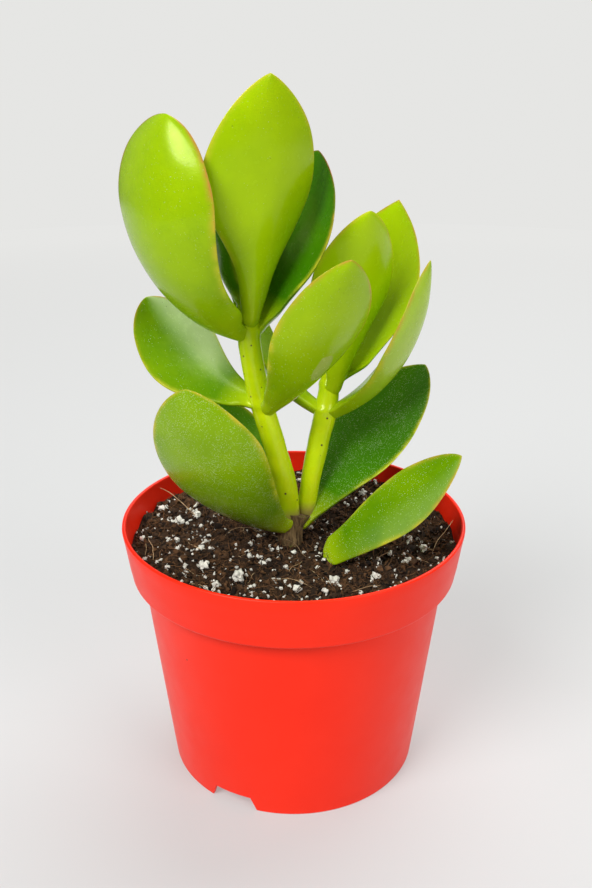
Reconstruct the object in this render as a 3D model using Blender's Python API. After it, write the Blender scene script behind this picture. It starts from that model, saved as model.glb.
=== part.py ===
"""A young jade plant growing in a small plastic nursery pot.

Metres, +Z up. The origin is the centre of the circle that the pot's foot stands on, and the
plant is seen from its front along +Y. Pot, potting mix, trunk, stems, every leaf and every
large perlite grain is its own solid.
"""
import math
from dataclasses import dataclass

import bmesh
import bpy
from mathutils import Matrix, Vector

# Pot
RIM_RADIUS = 0.0500
POT_HEIGHT = 0.0780
FOOT_RADIUS = 0.0374
COLLAR_HEIGHT = 0.0155
COLLAR_DRAFT = 0.0022        # how much narrower the collar is at its lower edge than at the rim
COLLAR_STEP = 0.0032         # how far the collar stands out from the body below it
COLLAR_EDGE = 0.0011         # size of the rounding along the collar's lower edge
WALL = 0.0012
FLOOR_HEIGHT = 0.0060        # underside of the floor, above the foot
FLOOR_THICKNESS = 0.0015
NOTCH_COUNT = 3
NOTCH_FIRST_ANGLE = 242.0    # degrees, of the notch at the front left
NOTCH_HEIGHT = 0.0046
NOTCH_FOOT_WIDTH = 0.0150
NOTCH_TOP_WIDTH = 0.0115
DRAIN_COUNT = 4
DRAIN_RADIUS = 0.0045
DRAIN_CIRCLE = 0.0230
POT_STEPS = 64

# Potting mix
HEADSPACE = 0.0070           # from the rim down to the mix
LUMP_HEIGHT = 0.0007
LUMP_SPAN_X = 0.0203         # from one lump of the surface to the next, in x
LUMP_SPAN_Y = 0.0233
LUMP_SPAN_ACROSS = 0.0121    # of the smaller lumps, along x + y
SOIL_STEPS = 40
SOIL_RINGS = 7

# Clearance between any two pieces that touch
GAP = 0.0003

# Cutters
OVERRUN = 0.0010             # how far a cutter runs past the face that it opens
NOTCH_REACH = 0.0110         # length of a notch cutter, across the foot's wall
TINY = 1e-6                  # lengths below this are rounding errors

# Stems: the trunk goes into the mix, and both green stems stand on it.
TRUNK_DEPTH = 0.0200         # how deep the trunk is set in the mix
TRUNK_TOP = 0.0090           # how far the trunk stands out of the mix
TRUNK_X = -0.0010
TRUNK_Y = -0.0035
TRUNK_RADIUS = 0.0037
CROWN_RADIUS = 0.0048        # where the trunk widens to carry both stems
STEM_SIDES = 14
STEM_STATIONS = 12

# Leaves
LEAF_AROUND = 16
LEAF_ALONG = 14
MIDRIB_STEPS = 40
BASE_ROUNDING = 0.03         # share of a blade's length over which its base closes
BASE_FULLNESS = 0.75         # a blade's thickness at its base, as a share of its belly's
TIP_FULLNESS = 1.15          # a larger value keeps a blade thick nearer to its tip
EDGE_THINNING = 0.25         # how much thinner a blade is at its margins than at its midrib

# Cutting: one leaf set in the mix at the front right
CUTTING_X = 0.0085
CUTTING_Y = -0.0140
CUTTING_LIFT = 0.0002        # from the mix up to the base of the cutting's midrib

# Perlite
GRAIN_SINK = 0.35            # share of a grain's height that is pressed into the mix
GRAIN_FLATNESS = 0.80
GRAIN_ROUGHNESS = 0.16
GRAIN_GAP = 0.00045          # clearance at a grain's corners, which gives its faces GAP

SOIL_TOP = POT_HEIGHT - HEADSPACE


@dataclass
class Stem:
    """A stem's centre line from the trunk's top: offsets in x and y at heights above the crown."""

    name: str
    line: tuple
    radii: tuple


@dataclass
class Leaf:
    """One leaf: where it grows and how its blade turns, in metres and degrees.

    heading is the compass angle it grows towards, counted from +X round +Z. rise is how steeply
    it leaves the stem, bend how much steeper it is at its tip, and roll turns the blade about
    its own midrib. widest is where along the blade it is broadest. A small point makes a round
    tip and a large one a pointed tip; a small taper makes a full base and a large one a narrow
    base.
    """

    name: str
    stem: str
    height: float
    heading: float
    rise: float
    bend: float
    roll: float
    length: float
    width: float
    thickness: float = 0.0055
    cup: float = 0.20
    widest: float = 0.60
    point: float = 0.75
    taper: float = 1.10
    neck: float = 0.20


MAIN = Stem(
    "main_stem",
    (
        (-0.0020, -0.0034, 0.0003),
        (-0.0030, -0.0037, 0.0100),
        (-0.0060, -0.0041, 0.0220),
        (-0.0094, -0.0048, 0.0350),
        (-0.0112, -0.0050, 0.0460),
        (-0.0125, -0.0050, 0.0590),
        (-0.0127, -0.0050, 0.0660),
    ),
    (0.0039, 0.0037, 0.0035, 0.0035, 0.0032, 0.0030, 0.0016),
)
SIDE = Stem(
    "side_stem",
    (
        (0.0036, -0.0006, 0.0003),
        (0.0052, 0.0022, 0.0100),
        (0.0075, 0.0052, 0.0200),
        (0.0095, 0.0080, 0.0290),
        (0.0105, 0.0100, 0.0370),
        (0.0109, 0.0108, 0.0430),
    ),
    (0.0027, 0.0029, 0.0031, 0.0032, 0.0026, 0.0013),
)
STEMS = (MAIN, SIDE)

LEAVES = (
    Leaf("top_leaf_left", "main_stem", 0.0550, 213, 26, 92, -20, 0.066, 0.032,
         thickness=0.0060, cup=0.25, widest=0.66, point=0.46, taper=0.90),
    Leaf("top_leaf_right", "main_stem", 0.0560, 28, 52, 32, -8, 0.049, 0.038, cup=0.30),
    Leaf("top_leaf_front", "main_stem", 0.0595, 300, 75, 10, 0, 0.062, 0.032,
         cup=0.20, point=0.80, taper=1.30),
    Leaf("top_leaf_back", "main_stem", 0.0595, 114, 66, 18, 0, 0.040, 0.020,
         thickness=0.0045, cup=0.15),
    Leaf("bud_leaf_left", "main_stem", 0.0635, 203, 60, 25, 0, 0.022, 0.010,
         thickness=0.0022, cup=0.30),
    Leaf("bud_leaf_right", "main_stem", 0.0640, 30, 66, 15, 0, 0.020, 0.008,
         thickness=0.0020, cup=0.20),
    Leaf("middle_leaf_left", "main_stem", 0.0350, 165, 12, 62, 22, 0.042, 0.028,
         cup=0.15, point=0.60, taper=0.90),
    Leaf("middle_leaf_right", "main_stem", 0.0340, 317, 42, 32, 20, 0.053, 0.026, taper=0.90),
    Leaf("low_leaf_left", "trunk", -0.0030, 222, 27, 60, -30, 0.061, 0.032,
         taper=0.80, point=0.70),
    Leaf("low_leaf_back", "trunk", -0.0010, 152, 48, 12, 0, 0.039, 0.026),
    Leaf("low_leaf_right", "trunk", -0.0035, 33, 35, 15, 0, 0.060, 0.034, taper=0.90),
    Leaf("side_leaf_left", "side_stem", 0.0285, 168, 30, 55, 0, 0.040, 0.020),
    Leaf("side_leaf_right", "side_stem", 0.0280, 344, 31, 60, 0, 0.054, 0.026, cup=0.30),
    Leaf("side_leaf_front", "side_stem", 0.0355, 305, 70, 10, 0, 0.053, 0.028, cup=0.20),
    Leaf("side_leaf_back", "side_stem", 0.0355, 47, 42, 38, 5, 0.057, 0.038,
         cup=0.30, point=0.85),
    Leaf("side_bud_left", "side_stem", 0.0400, 210, 66, 18, 0, 0.016, 0.008,
         thickness=0.0020, cup=0.20),
    Leaf("side_bud_right", "side_stem", 0.0400, 10, 72, 10, 0, 0.015, 0.007,
         thickness=0.0020, cup=0.20),
)
CUTTING = Leaf("cutting_leaf", "soil", 0.0, 345, 36, 15, -40, 0.051, 0.018, taper=0.90, neck=0.34)

# The large perlite grains: place on the mix, as shares of its radius, and size across
GRAINS = (
    (-0.87, 0.38, 0.0032),
    (-0.74, 0.19, 0.0038),
    (-0.64, 0.28, 0.0034),
    (-0.57, -0.21, 0.0028),
    (-0.53, -0.40, 0.0030),
    (-0.44, -0.61, 0.0026),
    (-0.32, -0.53, 0.0040),
    (-0.19, -0.36, 0.0028),
    (0.02, -0.64, 0.0026),
    (0.23, -0.59, 0.0042),
    (0.47, -0.55, 0.0034),
    (0.68, -0.36, 0.0030),
    (0.80, -0.19, 0.0032),
    (0.47, 0.59, 0.0030),
    (-0.21, 0.68, 0.0034),
    (0.04, 0.85, 0.0028),
)

COLOURS = {
    "pot_red": (0.85, 0.045, 0.018, 0.38, 0.0),
    "potting_mix": (0.035, 0.020, 0.012, 0.95, 0.0),
    "bark": (0.22, 0.14, 0.06, 0.80, 0.0),
    "stem_green": (0.45, 0.55, 0.06, 0.45, 0.0),
    "leaf_green": (0.20, 0.42, 0.03, 0.30, 0.0),
    "perlite_white": (0.82, 0.81, 0.76, 0.90, 0.0),
}


def clear_scene():
    for old in list(bpy.data.objects):
        bpy.data.objects.remove(old, do_unlink=True)


def material(name):
    found = bpy.data.materials.get(name)
    if found:
        return found
    red, green, blue, roughness, metallic = COLOURS[name]
    made = bpy.data.materials.new(name)
    made.use_nodes = True
    shader = made.node_tree.nodes["Principled BSDF"]
    shader.inputs["Base Color"].default_value = (red, green, blue, 1.0)
    shader.inputs["Roughness"].default_value = roughness
    shader.inputs["Metallic"].default_value = metallic
    return made


def finish_object(name, shape, finish, hidden=False):
    """Make the object of a bmesh, with its faces pointing out, and free the bmesh."""
    bmesh.ops.recalc_face_normals(shape, faces=shape.faces)
    if shape.calc_volume(signed=True) < 0:
        bmesh.ops.reverse_faces(shape, faces=shape.faces)
    mesh = bpy.data.meshes.new(name)
    shape.to_mesh(mesh)
    shape.free()
    mesh.shade_smooth()
    mesh.materials.append(material(finish))
    made = bpy.data.objects.new(name, mesh)
    bpy.context.scene.collection.objects.link(made)
    if hidden:
        made.hide_render = True
        made.display_type = "WIRE"
    return made


def cut(target, cutter):
    """Take the cutter's shape out of the target."""
    boolean = target.modifiers.new("cut_" + cutter.name, "BOOLEAN")
    boolean.operation = "DIFFERENCE"
    boolean.solver = "EXACT"
    boolean.object = cutter


def arc(centre_radius, centre_height, size, start, end, steps):
    """Outline points round an arc, from one angle to another in degrees."""
    points = []
    for step in range(steps + 1):
        turn = math.radians(start + (end - start) * step / steps)
        points.append((
            centre_radius + size * math.cos(turn),
            centre_height + size * math.sin(turn),
        ))
    return points


def turned(profile, steps):
    """A solid of revolution about Z from an outline of (radius, height) points on the axis."""
    shape = bmesh.new()
    points = [shape.verts.new((radius, 0.0, height)) for radius, height in profile]
    edges = [shape.edges.new(pair) for pair in zip(points, points[1:])]
    bmesh.ops.spin(
        shape, geom=points + edges, cent=(0, 0, 0), axis=(0, 0, 1), dvec=(0, 0, 0),
        angle=2 * math.pi, steps=steps, use_merge=True, use_duplicate=False,
    )
    bmesh.ops.remove_doubles(shape, verts=shape.verts, dist=TINY)
    return shape


# Pot

def collar_foot():
    """Height of the collar's lower edge."""
    return POT_HEIGHT - COLLAR_HEIGHT


def collar_foot_radius():
    return RIM_RADIUS - COLLAR_DRAFT


def body_top_radius():
    return collar_foot_radius() - COLLAR_STEP


def body_radius(height):
    """Outer radius of the tapered body at a height."""
    share = height / collar_foot()
    return FOOT_RADIUS + (body_top_radius() - FOOT_RADIUS) * share


def collar_radius(height):
    share = (POT_HEIGHT - height) / COLLAR_HEIGHT
    return RIM_RADIUS - COLLAR_DRAFT * share


def pot_outline():
    """The pot's wall as one outline, from the axis under the floor, round the outside, and back."""
    floor_top = FLOOR_HEIGHT + FLOOR_THICKNESS
    shelf = collar_foot() + WALL
    outline = [
        (0.0, FLOOR_HEIGHT),
        (body_radius(FLOOR_HEIGHT) - WALL, FLOOR_HEIGHT),
        (FOOT_RADIUS - WALL, 0.0),
        (FOOT_RADIUS, 0.0),
        (body_top_radius(), collar_foot()),
    ]
    outline += arc(
        collar_foot_radius() - COLLAR_EDGE, collar_foot() + COLLAR_EDGE, COLLAR_EDGE, -90, 0, 4
    )
    lip = WALL / 2
    outline += arc(RIM_RADIUS - lip, POT_HEIGHT - lip, lip, 0, 180, 6)
    outline += [
        (collar_radius(shelf) - WALL, shelf),
        (body_radius(shelf) - WALL, shelf),
        (body_radius(floor_top) - WALL, floor_top),
        (0.0, floor_top),
    ]
    return outline


def notch_cutter(index):
    """A wedge-sided block that cuts one notch through the foot's wall."""
    shape = bmesh.new()
    bmesh.ops.create_cube(shape, size=1.0)
    slant = (NOTCH_FOOT_WIDTH - NOTCH_TOP_WIDTH) / NOTCH_HEIGHT
    for corner in shape.verts:
        at_top = corner.co.z > 0
        width = NOTCH_TOP_WIDTH if at_top else NOTCH_FOOT_WIDTH + slant * OVERRUN
        corner.co.x = corner.co.x * NOTCH_REACH + FOOT_RADIUS - WALL / 2
        corner.co.y *= width
        corner.co.z = NOTCH_HEIGHT if at_top else -OVERRUN
    made = finish_object(f"notch_cutter_{index + 1}", shape, "pot_red", hidden=True)
    angle = NOTCH_FIRST_ANGLE + index * 360 / NOTCH_COUNT
    made.rotation_euler.z = math.radians(angle)
    return made


def drain_cutter(index):
    shape = bmesh.new()
    bmesh.ops.create_cone(
        shape, cap_ends=True, segments=20, radius1=DRAIN_RADIUS, radius2=DRAIN_RADIUS,
        depth=FLOOR_THICKNESS + 2 * OVERRUN,
    )
    made = finish_object(f"drain_cutter_{index + 1}", shape, "pot_red", hidden=True)
    angle = 2 * math.pi * (index + 0.5) / DRAIN_COUNT
    made.location = (
        DRAIN_CIRCLE * math.cos(angle),
        DRAIN_CIRCLE * math.sin(angle),
        FLOOR_HEIGHT + FLOOR_THICKNESS / 2,
    )
    return made


def make_pot():
    pot = finish_object("pot", turned(pot_outline(), POT_STEPS), "pot_red")
    for index in range(NOTCH_COUNT):
        cut(pot, notch_cutter(index))
    for index in range(DRAIN_COUNT):
        cut(pot, drain_cutter(index))
    return pot


# Potting mix

def soil_height(x, y):
    """The mix's surface: gentle lumps of two sizes."""
    turn = 2 * math.pi
    large = math.sin(turn * x / LUMP_SPAN_X + 1.3) * math.cos(turn * y / LUMP_SPAN_Y - 0.4)
    small = math.sin(turn * (x + y) / LUMP_SPAN_ACROSS)
    return SOIL_TOP + LUMP_HEIGHT * (large + 0.6 * small)


def soil_edge():
    """Radius of the mix's surface."""
    return collar_radius(SOIL_TOP) - WALL - 2 * GAP


def soil_outline():
    """The plug of mix that fills the pot, from its bottom up the wall and in to the middle."""
    bottom = FLOOR_HEIGHT + FLOOR_THICKNESS + GAP
    shelf = collar_foot() + WALL + GAP
    edge = soil_edge()
    outline = [
        (0.0, bottom),
        (body_radius(bottom) - WALL - 2 * GAP, bottom),
        (body_radius(shelf) - WALL - 2 * GAP, shelf),
        (collar_radius(shelf) - WALL - 2 * GAP, shelf),
        (edge, SOIL_TOP),
    ]
    for ring in range(SOIL_RINGS - 1, -1, -1):
        outline.append((edge * ring / SOIL_RINGS, SOIL_TOP))
    return outline


def make_soil(pressed_in):
    """The plug of mix, with a hollow for each piece that is set in it."""
    shape = turned(soil_outline(), SOIL_STEPS)
    for point in shape.verts:
        if point.co.z > SOIL_TOP - TINY:
            point.co.z = soil_height(point.co.x, point.co.y)
    soil = finish_object("potting_mix", shape, "potting_mix")
    for cutter in pressed_in:
        cut(soil, cutter)
    return soil


# Trunk and stems

def smooth_line(points, stations):
    """Points along the Catmull-Rom curve through the given points."""
    ends = [2 * points[0] - points[1]] + list(points) + [2 * points[-1] - points[-2]]
    spans = len(points) - 1
    line = []
    for station in range(stations + 1):
        where = station * spans / stations
        span = min(int(where), spans - 1)
        t = where - span
        before, start, end, after = ends[span:span + 4]
        line.append(0.5 * (
            2 * start
            + (end - before) * t
            + (2 * before - 5 * start + 4 * end - after) * t ** 2
            + (3 * start - before - 3 * end + after) * t ** 3
        ))
    return line


def stem_stations(stem):
    """The stem's centre line as vectors of x, y, z and radius."""
    crown = SOIL_TOP + TRUNK_TOP
    marks = [
        Vector((x, y, crown + rise, radius))
        for (x, y, rise), radius in zip(stem.line, stem.radii)
    ]
    return smooth_line(marks, STEM_STATIONS)


def trunk_stations():
    """The woody trunk: set in the mix, and widening at its crown where the stems stand."""
    crown = SOIL_TOP + TRUNK_TOP
    marks = [
        Vector((TRUNK_X, TRUNK_Y, SOIL_TOP - TRUNK_DEPTH, 0.5 * TRUNK_RADIUS)),
        Vector((TRUNK_X, TRUNK_Y, SOIL_TOP - 0.5 * TRUNK_DEPTH, 0.8 * TRUNK_RADIUS)),
        Vector((TRUNK_X, TRUNK_Y, SOIL_TOP, TRUNK_RADIUS)),
        Vector((TRUNK_X + 0.0002, TRUNK_Y + 0.0002, SOIL_TOP + 0.5 * TRUNK_TOP, TRUNK_RADIUS)),
        Vector((TRUNK_X + 0.0012, TRUNK_Y + 0.0010, crown, CROWN_RADIUS)),
    ]
    return smooth_line(marks, STEM_STATIONS)


def round_bar(name, stations, finish, extra=0.0, hidden=False):
    """A round bar along a line of stations; extra makes a cutter that leaves a clearance."""
    shape = bmesh.new()
    rings = []
    for index, station in enumerate(stations):
        centre = station.xyz
        ahead = stations[min(index + 1, len(stations) - 1)].xyz
        behind = stations[max(index - 1, 0)].xyz
        along = (ahead - behind).normalized()
        if extra and index == 0:
            centre = centre - along * extra
        if extra and index == len(stations) - 1:
            centre = centre + along * extra
        place = Matrix.Translation(centre) @ along.to_track_quat("Z", "Y").to_matrix().to_4x4()
        ring = bmesh.ops.create_circle(
            shape, segments=STEM_SIDES, radius=station.w + extra, matrix=place,
            cap_ends=index in (0, len(stations) - 1),
        )
        rings.append(list({edge for point in ring["verts"] for edge in point.link_edges}))
    for lower, upper in zip(rings, rings[1:]):
        bmesh.ops.bridge_loops(shape, edges=lower + upper)
    return finish_object(name, shape, finish, hidden)


def axis_at(stations, height):
    """Centre and radius of a stem at a height above the origin."""
    for lower, upper in zip(stations, stations[1:]):
        if lower.z <= height <= upper.z:
            return lower.lerp(upper, (height - lower.z) / (upper.z - lower.z))
    return stations[-1] if height > stations[-1].z else stations[0]


# Leaves

def blade_half_width(leaf, along):
    """Half of the blade's width at a share of its length."""
    if along <= leaf.widest:
        swell = math.sin(math.pi / 2 * (along / leaf.widest) ** leaf.taper) ** 2
        share = leaf.neck + (1 - leaf.neck) * swell
    else:
        past = (along - leaf.widest) / (1 - leaf.widest)
        share = max(1 - past * past, 0.0) ** leaf.point
    return leaf.width / 2 * share


def blade_half_thickness(leaf, along):
    thinning = min(1.0, TIP_FULLNESS * math.sqrt(max(1 - along, 0.0)))
    belly = BASE_FULLNESS + (1 - BASE_FULLNESS) * math.sin(math.pi * min(1.2 * along, 1.0))
    return leaf.thickness / 2 * thinning * belly


def midrib_point(leaf, along):
    """Centre of the blade in its own upright plane, and how steep the midrib is there."""
    rise = math.radians(leaf.rise)
    bend = math.radians(leaf.bend)
    stride = leaf.length * along / MIDRIB_STEPS
    x = 0.0
    z = 0.0
    for step in range(MIDRIB_STEPS):
        slope = rise + bend * along * (step + 0.5) / MIDRIB_STEPS
        x += math.cos(slope) * stride
        z += math.sin(slope) * stride
    return x, z, rise + bend * along


def leaf_shape(leaf, extra=0.0):
    """A plump blade from a sphere: its poles become the base and the tip.

    The leaf runs along +X and up, and its upper face looks to +Z. extra makes a cutter that
    leaves a clearance.
    """
    shape = bmesh.new()
    bmesh.ops.create_uvsphere(shape, u_segments=LEAF_AROUND, v_segments=LEAF_ALONG, radius=1.0)
    roll = math.radians(leaf.roll)
    for point in shape.verts:
        along = (1 - max(-1.0, min(1.0, point.co.z))) / 2
        spread = math.hypot(point.co.x, point.co.y)
        at_pole = spread < TINY
        across = 0.0 if at_pole else point.co.x / spread
        facing = 0.0 if at_pole else point.co.y / spread
        rounding = 0.0 if at_pole else min(1.0, math.sqrt(along / BASE_ROUNDING))
        half_width = rounding * blade_half_width(leaf, along)
        half_thickness = min(rounding * blade_half_thickness(leaf, along), half_width)
        side = across * (half_width + extra)
        lift = leaf.cup * (half_width + extra) * across ** 2
        lift += facing * (half_thickness + extra) * (1 - EDGE_THINNING * across ** 2)
        x, z, slope = midrib_point(leaf, along)
        x += extra * (2 * along - 1) * math.cos(slope)
        z += extra * (2 * along - 1) * math.sin(slope)
        turned_side = side * math.cos(roll) - lift * math.sin(roll)
        turned_lift = side * math.sin(roll) + lift * math.cos(roll)
        point.co = (
            x - turned_lift * math.sin(slope),
            -turned_side,
            z + turned_lift * math.cos(slope),
        )
    return shape


def place_leaf(made, heading, foot):
    made.rotation_euler.z = math.radians(heading)
    made.location = foot


def make_leaf(leaf, stations, cutters):
    """A leaf on its stem: its base starts in the stem and is cut back to the clearance."""
    crown = SOIL_TOP + TRUNK_TOP
    axis = axis_at(stations, crown + leaf.height)
    heading = math.radians(leaf.heading)
    outward = Vector((math.cos(heading), math.sin(heading), 0.0))
    foot = axis.xyz + outward * axis.w
    made = finish_object(leaf.name, leaf_shape(leaf), "leaf_green")
    place_leaf(made, leaf.heading, foot)
    for cutter in cutters:
        cut(made, cutter)
    return made


def cutting_foot():
    """Where the cutting's base stands on the mix."""
    return Vector((CUTTING_X, CUTTING_Y, soil_height(CUTTING_X, CUTTING_Y) + CUTTING_LIFT))


# Perlite

def grain_shape(size, index, extra=0.0):
    """One crumbly grain: a low sphere with uneven corners."""
    shape = bmesh.new()
    bmesh.ops.create_icosphere(shape, subdivisions=1, radius=size / 2)
    for number, point in enumerate(shape.verts):
        uneven = 1 + GRAIN_ROUGHNESS * math.sin(2.1 * number + 1.7 * index)
        point.co *= uneven * (size / 2 + extra) / (size / 2)
        point.co.z *= GRAIN_FLATNESS
    return shape


def grain_place(share_x, share_y, size):
    """Centre of a grain that is pressed into the mix."""
    x = share_x * soil_edge()
    y = share_y * soil_edge()
    height = size * GRAIN_FLATNESS
    return Vector((x, y, soil_height(x, y) + height * (0.5 - GRAIN_SINK)))


def make_stems():
    """The trunk and both stems: each stem is cut back from what it stands on."""
    lines = {"trunk": trunk_stations()}
    for stem in STEMS:
        lines[stem.name] = stem_stations(stem)
    cutters = {}
    for name, line in lines.items():
        finish = "bark" if name == "trunk" else "stem_green"
        made = round_bar(name, line, finish)
        for below in cutters.values():
            cut(made, below)
        cutters[name] = round_bar(name + "_cutter", line, finish, GAP, hidden=True)
    return lines, cutters


def make_leaves(lines, cutters):
    for leaf in LEAVES:
        touching = list(cutters) if leaf.stem == "trunk" else [leaf.stem]
        make_leaf(leaf, lines[leaf.stem], [cutters[name] for name in touching])


def make_cutting():
    """The cutting, and the cutter of its hollow in the mix."""
    for name, extra in (CUTTING.name, 0.0), ("cutting_cutter", GAP):
        made = finish_object(name, leaf_shape(CUTTING, extra), "leaf_green", hidden=extra > 0)
        place_leaf(made, CUTTING.heading, cutting_foot())
    return made


def make_grains():
    """The perlite grains, and the cutters of their hollows in the mix."""
    hollows = []
    for index, (share_x, share_y, size) in enumerate(GRAINS):
        for name, extra in ("perlite", 0.0), ("perlite_cutter", GRAIN_GAP):
            made = finish_object(
                f"{name}_{index + 1:02d}", grain_shape(size, index, extra), "perlite_white",
                hidden=extra > 0,
            )
            made.location = grain_place(share_x, share_y, size)
        hollows.append(made)
    return hollows


def group_all(name):
    """Hang every piece and cutter on one empty at the origin, to move the plant as a whole."""
    root = bpy.data.objects.new(name, None)
    for made in list(bpy.data.objects):
        if made is not root:
            made.parent = root
    bpy.context.scene.collection.objects.link(root)


def build():
    clear_scene()
    make_pot()
    lines, cutters = make_stems()
    make_leaves(lines, cutters)
    make_soil([cutters["trunk"], make_cutting()] + make_grains())
    group_all("potted_jade_plant")


build()
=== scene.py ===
"""Potted jade plant: the finished look, laid out as a Blender add-on and run as a script.

A young jade plant in a round red nursery pot. The pot's rim and foot and the large perlite grains
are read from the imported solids, and every leaf is checked against its own. Metres, +Z up, and the
plant is seen from its front along +Y.
"""
import math
import random
from dataclasses import dataclass
from functools import partial

import bmesh
import bpy
from bpy.props import FloatProperty, FloatVectorProperty, IntProperty, PointerProperty
from mathutils import Matrix, Vector, noise


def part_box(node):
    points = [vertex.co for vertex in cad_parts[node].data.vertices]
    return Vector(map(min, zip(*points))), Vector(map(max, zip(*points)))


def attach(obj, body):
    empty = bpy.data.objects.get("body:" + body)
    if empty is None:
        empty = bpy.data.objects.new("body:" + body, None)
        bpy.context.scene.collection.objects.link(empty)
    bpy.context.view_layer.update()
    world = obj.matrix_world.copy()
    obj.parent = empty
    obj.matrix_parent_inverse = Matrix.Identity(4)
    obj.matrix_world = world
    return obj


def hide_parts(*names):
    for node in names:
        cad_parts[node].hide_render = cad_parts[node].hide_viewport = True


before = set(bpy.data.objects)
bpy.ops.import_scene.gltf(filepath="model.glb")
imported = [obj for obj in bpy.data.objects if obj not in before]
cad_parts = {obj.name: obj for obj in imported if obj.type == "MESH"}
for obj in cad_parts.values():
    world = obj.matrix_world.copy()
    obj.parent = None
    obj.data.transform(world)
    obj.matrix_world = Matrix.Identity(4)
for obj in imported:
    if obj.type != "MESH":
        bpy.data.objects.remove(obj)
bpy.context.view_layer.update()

bl_info = {
    "name": "Potted Jade Plant",
    "version": (1, 0, 0),
    "blender": (4, 5, 0),
    "location": "View3D > Sidebar > Jade Plant",
    "description": "Models a young jade plant in a nursery pot around its packed solids",
    "category": "Object",
}

MILLI = 0.001
TINY = 1e-6
FULL_TURN = 2 * math.pi

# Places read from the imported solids
POT_LOW, POT_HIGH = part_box("pot")
RIM_RADIUS = POT_HIGH.x
RIM_HEIGHT = POT_HIGH.z
GRAIN_NODES = sorted(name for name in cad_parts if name.startswith("perlite"))

# Pot
COLLAR_HEIGHT = 0.0155
COLLAR_DRAFT = 0.0022        # how much narrower the collar is at its lower edge than at the rim
COLLAR_STEP = 0.0032         # how far the collar stands out from the body below it
COLLAR_EDGE = 0.0011         # size of the rounding along the collar's lower edge
SOFT_EDGE = 0.3 * MILLI      # size of the pot's other small roundings
CREASE_ANGLE = 35            # degrees, above which the pot keeps a crisp edge
FLOOR_HEIGHT = 0.0060
FLOOR_THICKNESS = 0.0015
NOTCH_ANGLES = (242.0, 2.0, 122.0)
NOTCH_HEIGHT = 0.0046
NOTCH_FOOT_WIDTH = 0.0150
NOTCH_TOP_WIDTH = 0.0115
NOTCH_REACH = 0.0110
DRAIN_COUNT = 4
DRAIN_RADIUS = 0.0045
DRAIN_CIRCLE = 0.0230
DRAIN_SIDES = 40
OVERRUN = 0.0010             # how far a cutter runs past the face that it opens
POT_STEPS = 192

# Mix
HEADSPACE = 0.0070
MIX_LEVEL = RIM_HEIGHT - HEADSPACE
LUMP_HEIGHT = 0.0007
LUMP_SPAN_X = 0.0203
LUMP_SPAN_Y = 0.0233
LUMP_SPAN_ACROSS = 0.0121
CLOD_HEIGHT = 1.3 * MILLI
CLOD_SPAN = 0.0055
MIX_CLEARANCE = 0.2 * MILLI  # between the plug of mix and the pot
MIX_SUNK = 0.3 * MILLI       # how far the plug's top lies below the crumbs on it
MIX_STEPS = 240
MIX_RINGS = 80
THREAD_CLEARANCE = 0.4 * MILLI
THREAD_TIP = 0.45            # share of a thread's thickness at its ends

# Fibres that stand out of the mix: start, heading and climb in degrees, and length
STANDING_FIBRES = (
    (0.0400, -0.0100, 68, 28, 0.017),
    (-0.0300, 0.0110, 132, 24, 0.018),
    (-0.0310, -0.0040, 290, 14, 0.010),
    (-0.0300, -0.0300, 340, 10, 0.010),
    (0.0356, -0.0080, 295, 30, 0.011),
    (0.0150, -0.0360, 20, 12, 0.009),
)

# Trunk and stems
CROWN_HEIGHT = MIX_LEVEL + 0.0090
TRUNK_X = -0.0010
TRUNK_Y = -0.0035
TRUNK_RADIUS = 0.0037
CROWN_RADIUS = 0.0048
STEM_ROOT = 0.0045           # how far a stem runs on down into the crown
STEM_UNEVENNESS = 0.05
KNOT_SWELL = 0.14            # share by which a knot is thicker than its stem
KNOT_SPREAD = 0.0011
WOODY_FADE = 0.0035          # height over which the bark gives way to green skin
STEM_SIDES = 32
STEM_STATIONS = 72

# Leaves
LEAF_AROUND = 40
LEAF_ALONG = 56
LEAF_ROOT = 0.0034           # how far a leaf's base runs on into its stem
ROOT_STEPS = 8
PINCH_SHARE = 0.11           # share of a blade's length over which its foot narrows to its stem
MIDRIB_STEPS = 40
BASE_ROUNDING = 0.03         # share of a blade's length over which its base closes
BASE_FULLNESS = 0.75         # a blade's thickness at its base, as a share of its belly's
TIP_FULLNESS = 1.15          # a larger value keeps a blade thick nearer to its tip
EDGE_THINNING = 0.25         # how much thinner a blade is at its margins than at its midrib
EDGE_SHARPNESS = 1.15
MARGIN_WAVE = 0.025          # share by which a margin waves in and out
SKIN_WAVE = 0.35 * MILLI     # height of the broad waves over a blade
SKIN_WAVE_SCALE = 90         # such waves to a metre
RIM_WIDTH = 0.0008           # of the coloured margin
LEAF_TOLERANCE = 0.0050      # how far a leaf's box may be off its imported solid's


@dataclass
class Stem:
    """A stem's centre line from the crown: offsets in x and y at heights above it, and radii."""

    name: str
    line: tuple
    radii: tuple
    knots: tuple


@dataclass
class Leaf:
    """One leaf, in metres and degrees, by the same measures as its solid.

    heading is the compass angle it grows towards, rise how steeply it leaves the stem, bend how
    much steeper it is at its tip, and roll turns the blade about its midrib. shade runs from a
    bright blade at 0 to a dark one at 1, partly the blade's own tone and partly painted shade on
    leaves that sit in shadow. redness runs from a yellow margin to a red-brown one, salt is how
    thickly fine white crystals lie on it, and the last value is how thickly a pale waxen film lies
    on it, which is partly a painted sheen: on the side to the right of its heading, or to the left
    where it is below 0.
    """

    name: str
    stem: str
    height: float
    heading: float
    rise: float
    bend: float
    roll: float
    length: float
    width: float
    thickness: float = 0.0055
    cup: float = 0.20
    widest: float = 0.60
    point: float = 0.75
    taper: float = 1.10
    neck: float = 0.20
    shade: float = 0.30
    redness: float = 0.30
    salt: float = 0.10
    bloom: float = 0.0


@dataclass
class Spot:
    """A spot on a blade: shares along and across it, which face it is on, and half sizes there."""

    along: float
    across: float
    facing: float
    half_width: float
    half_thickness: float


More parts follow.
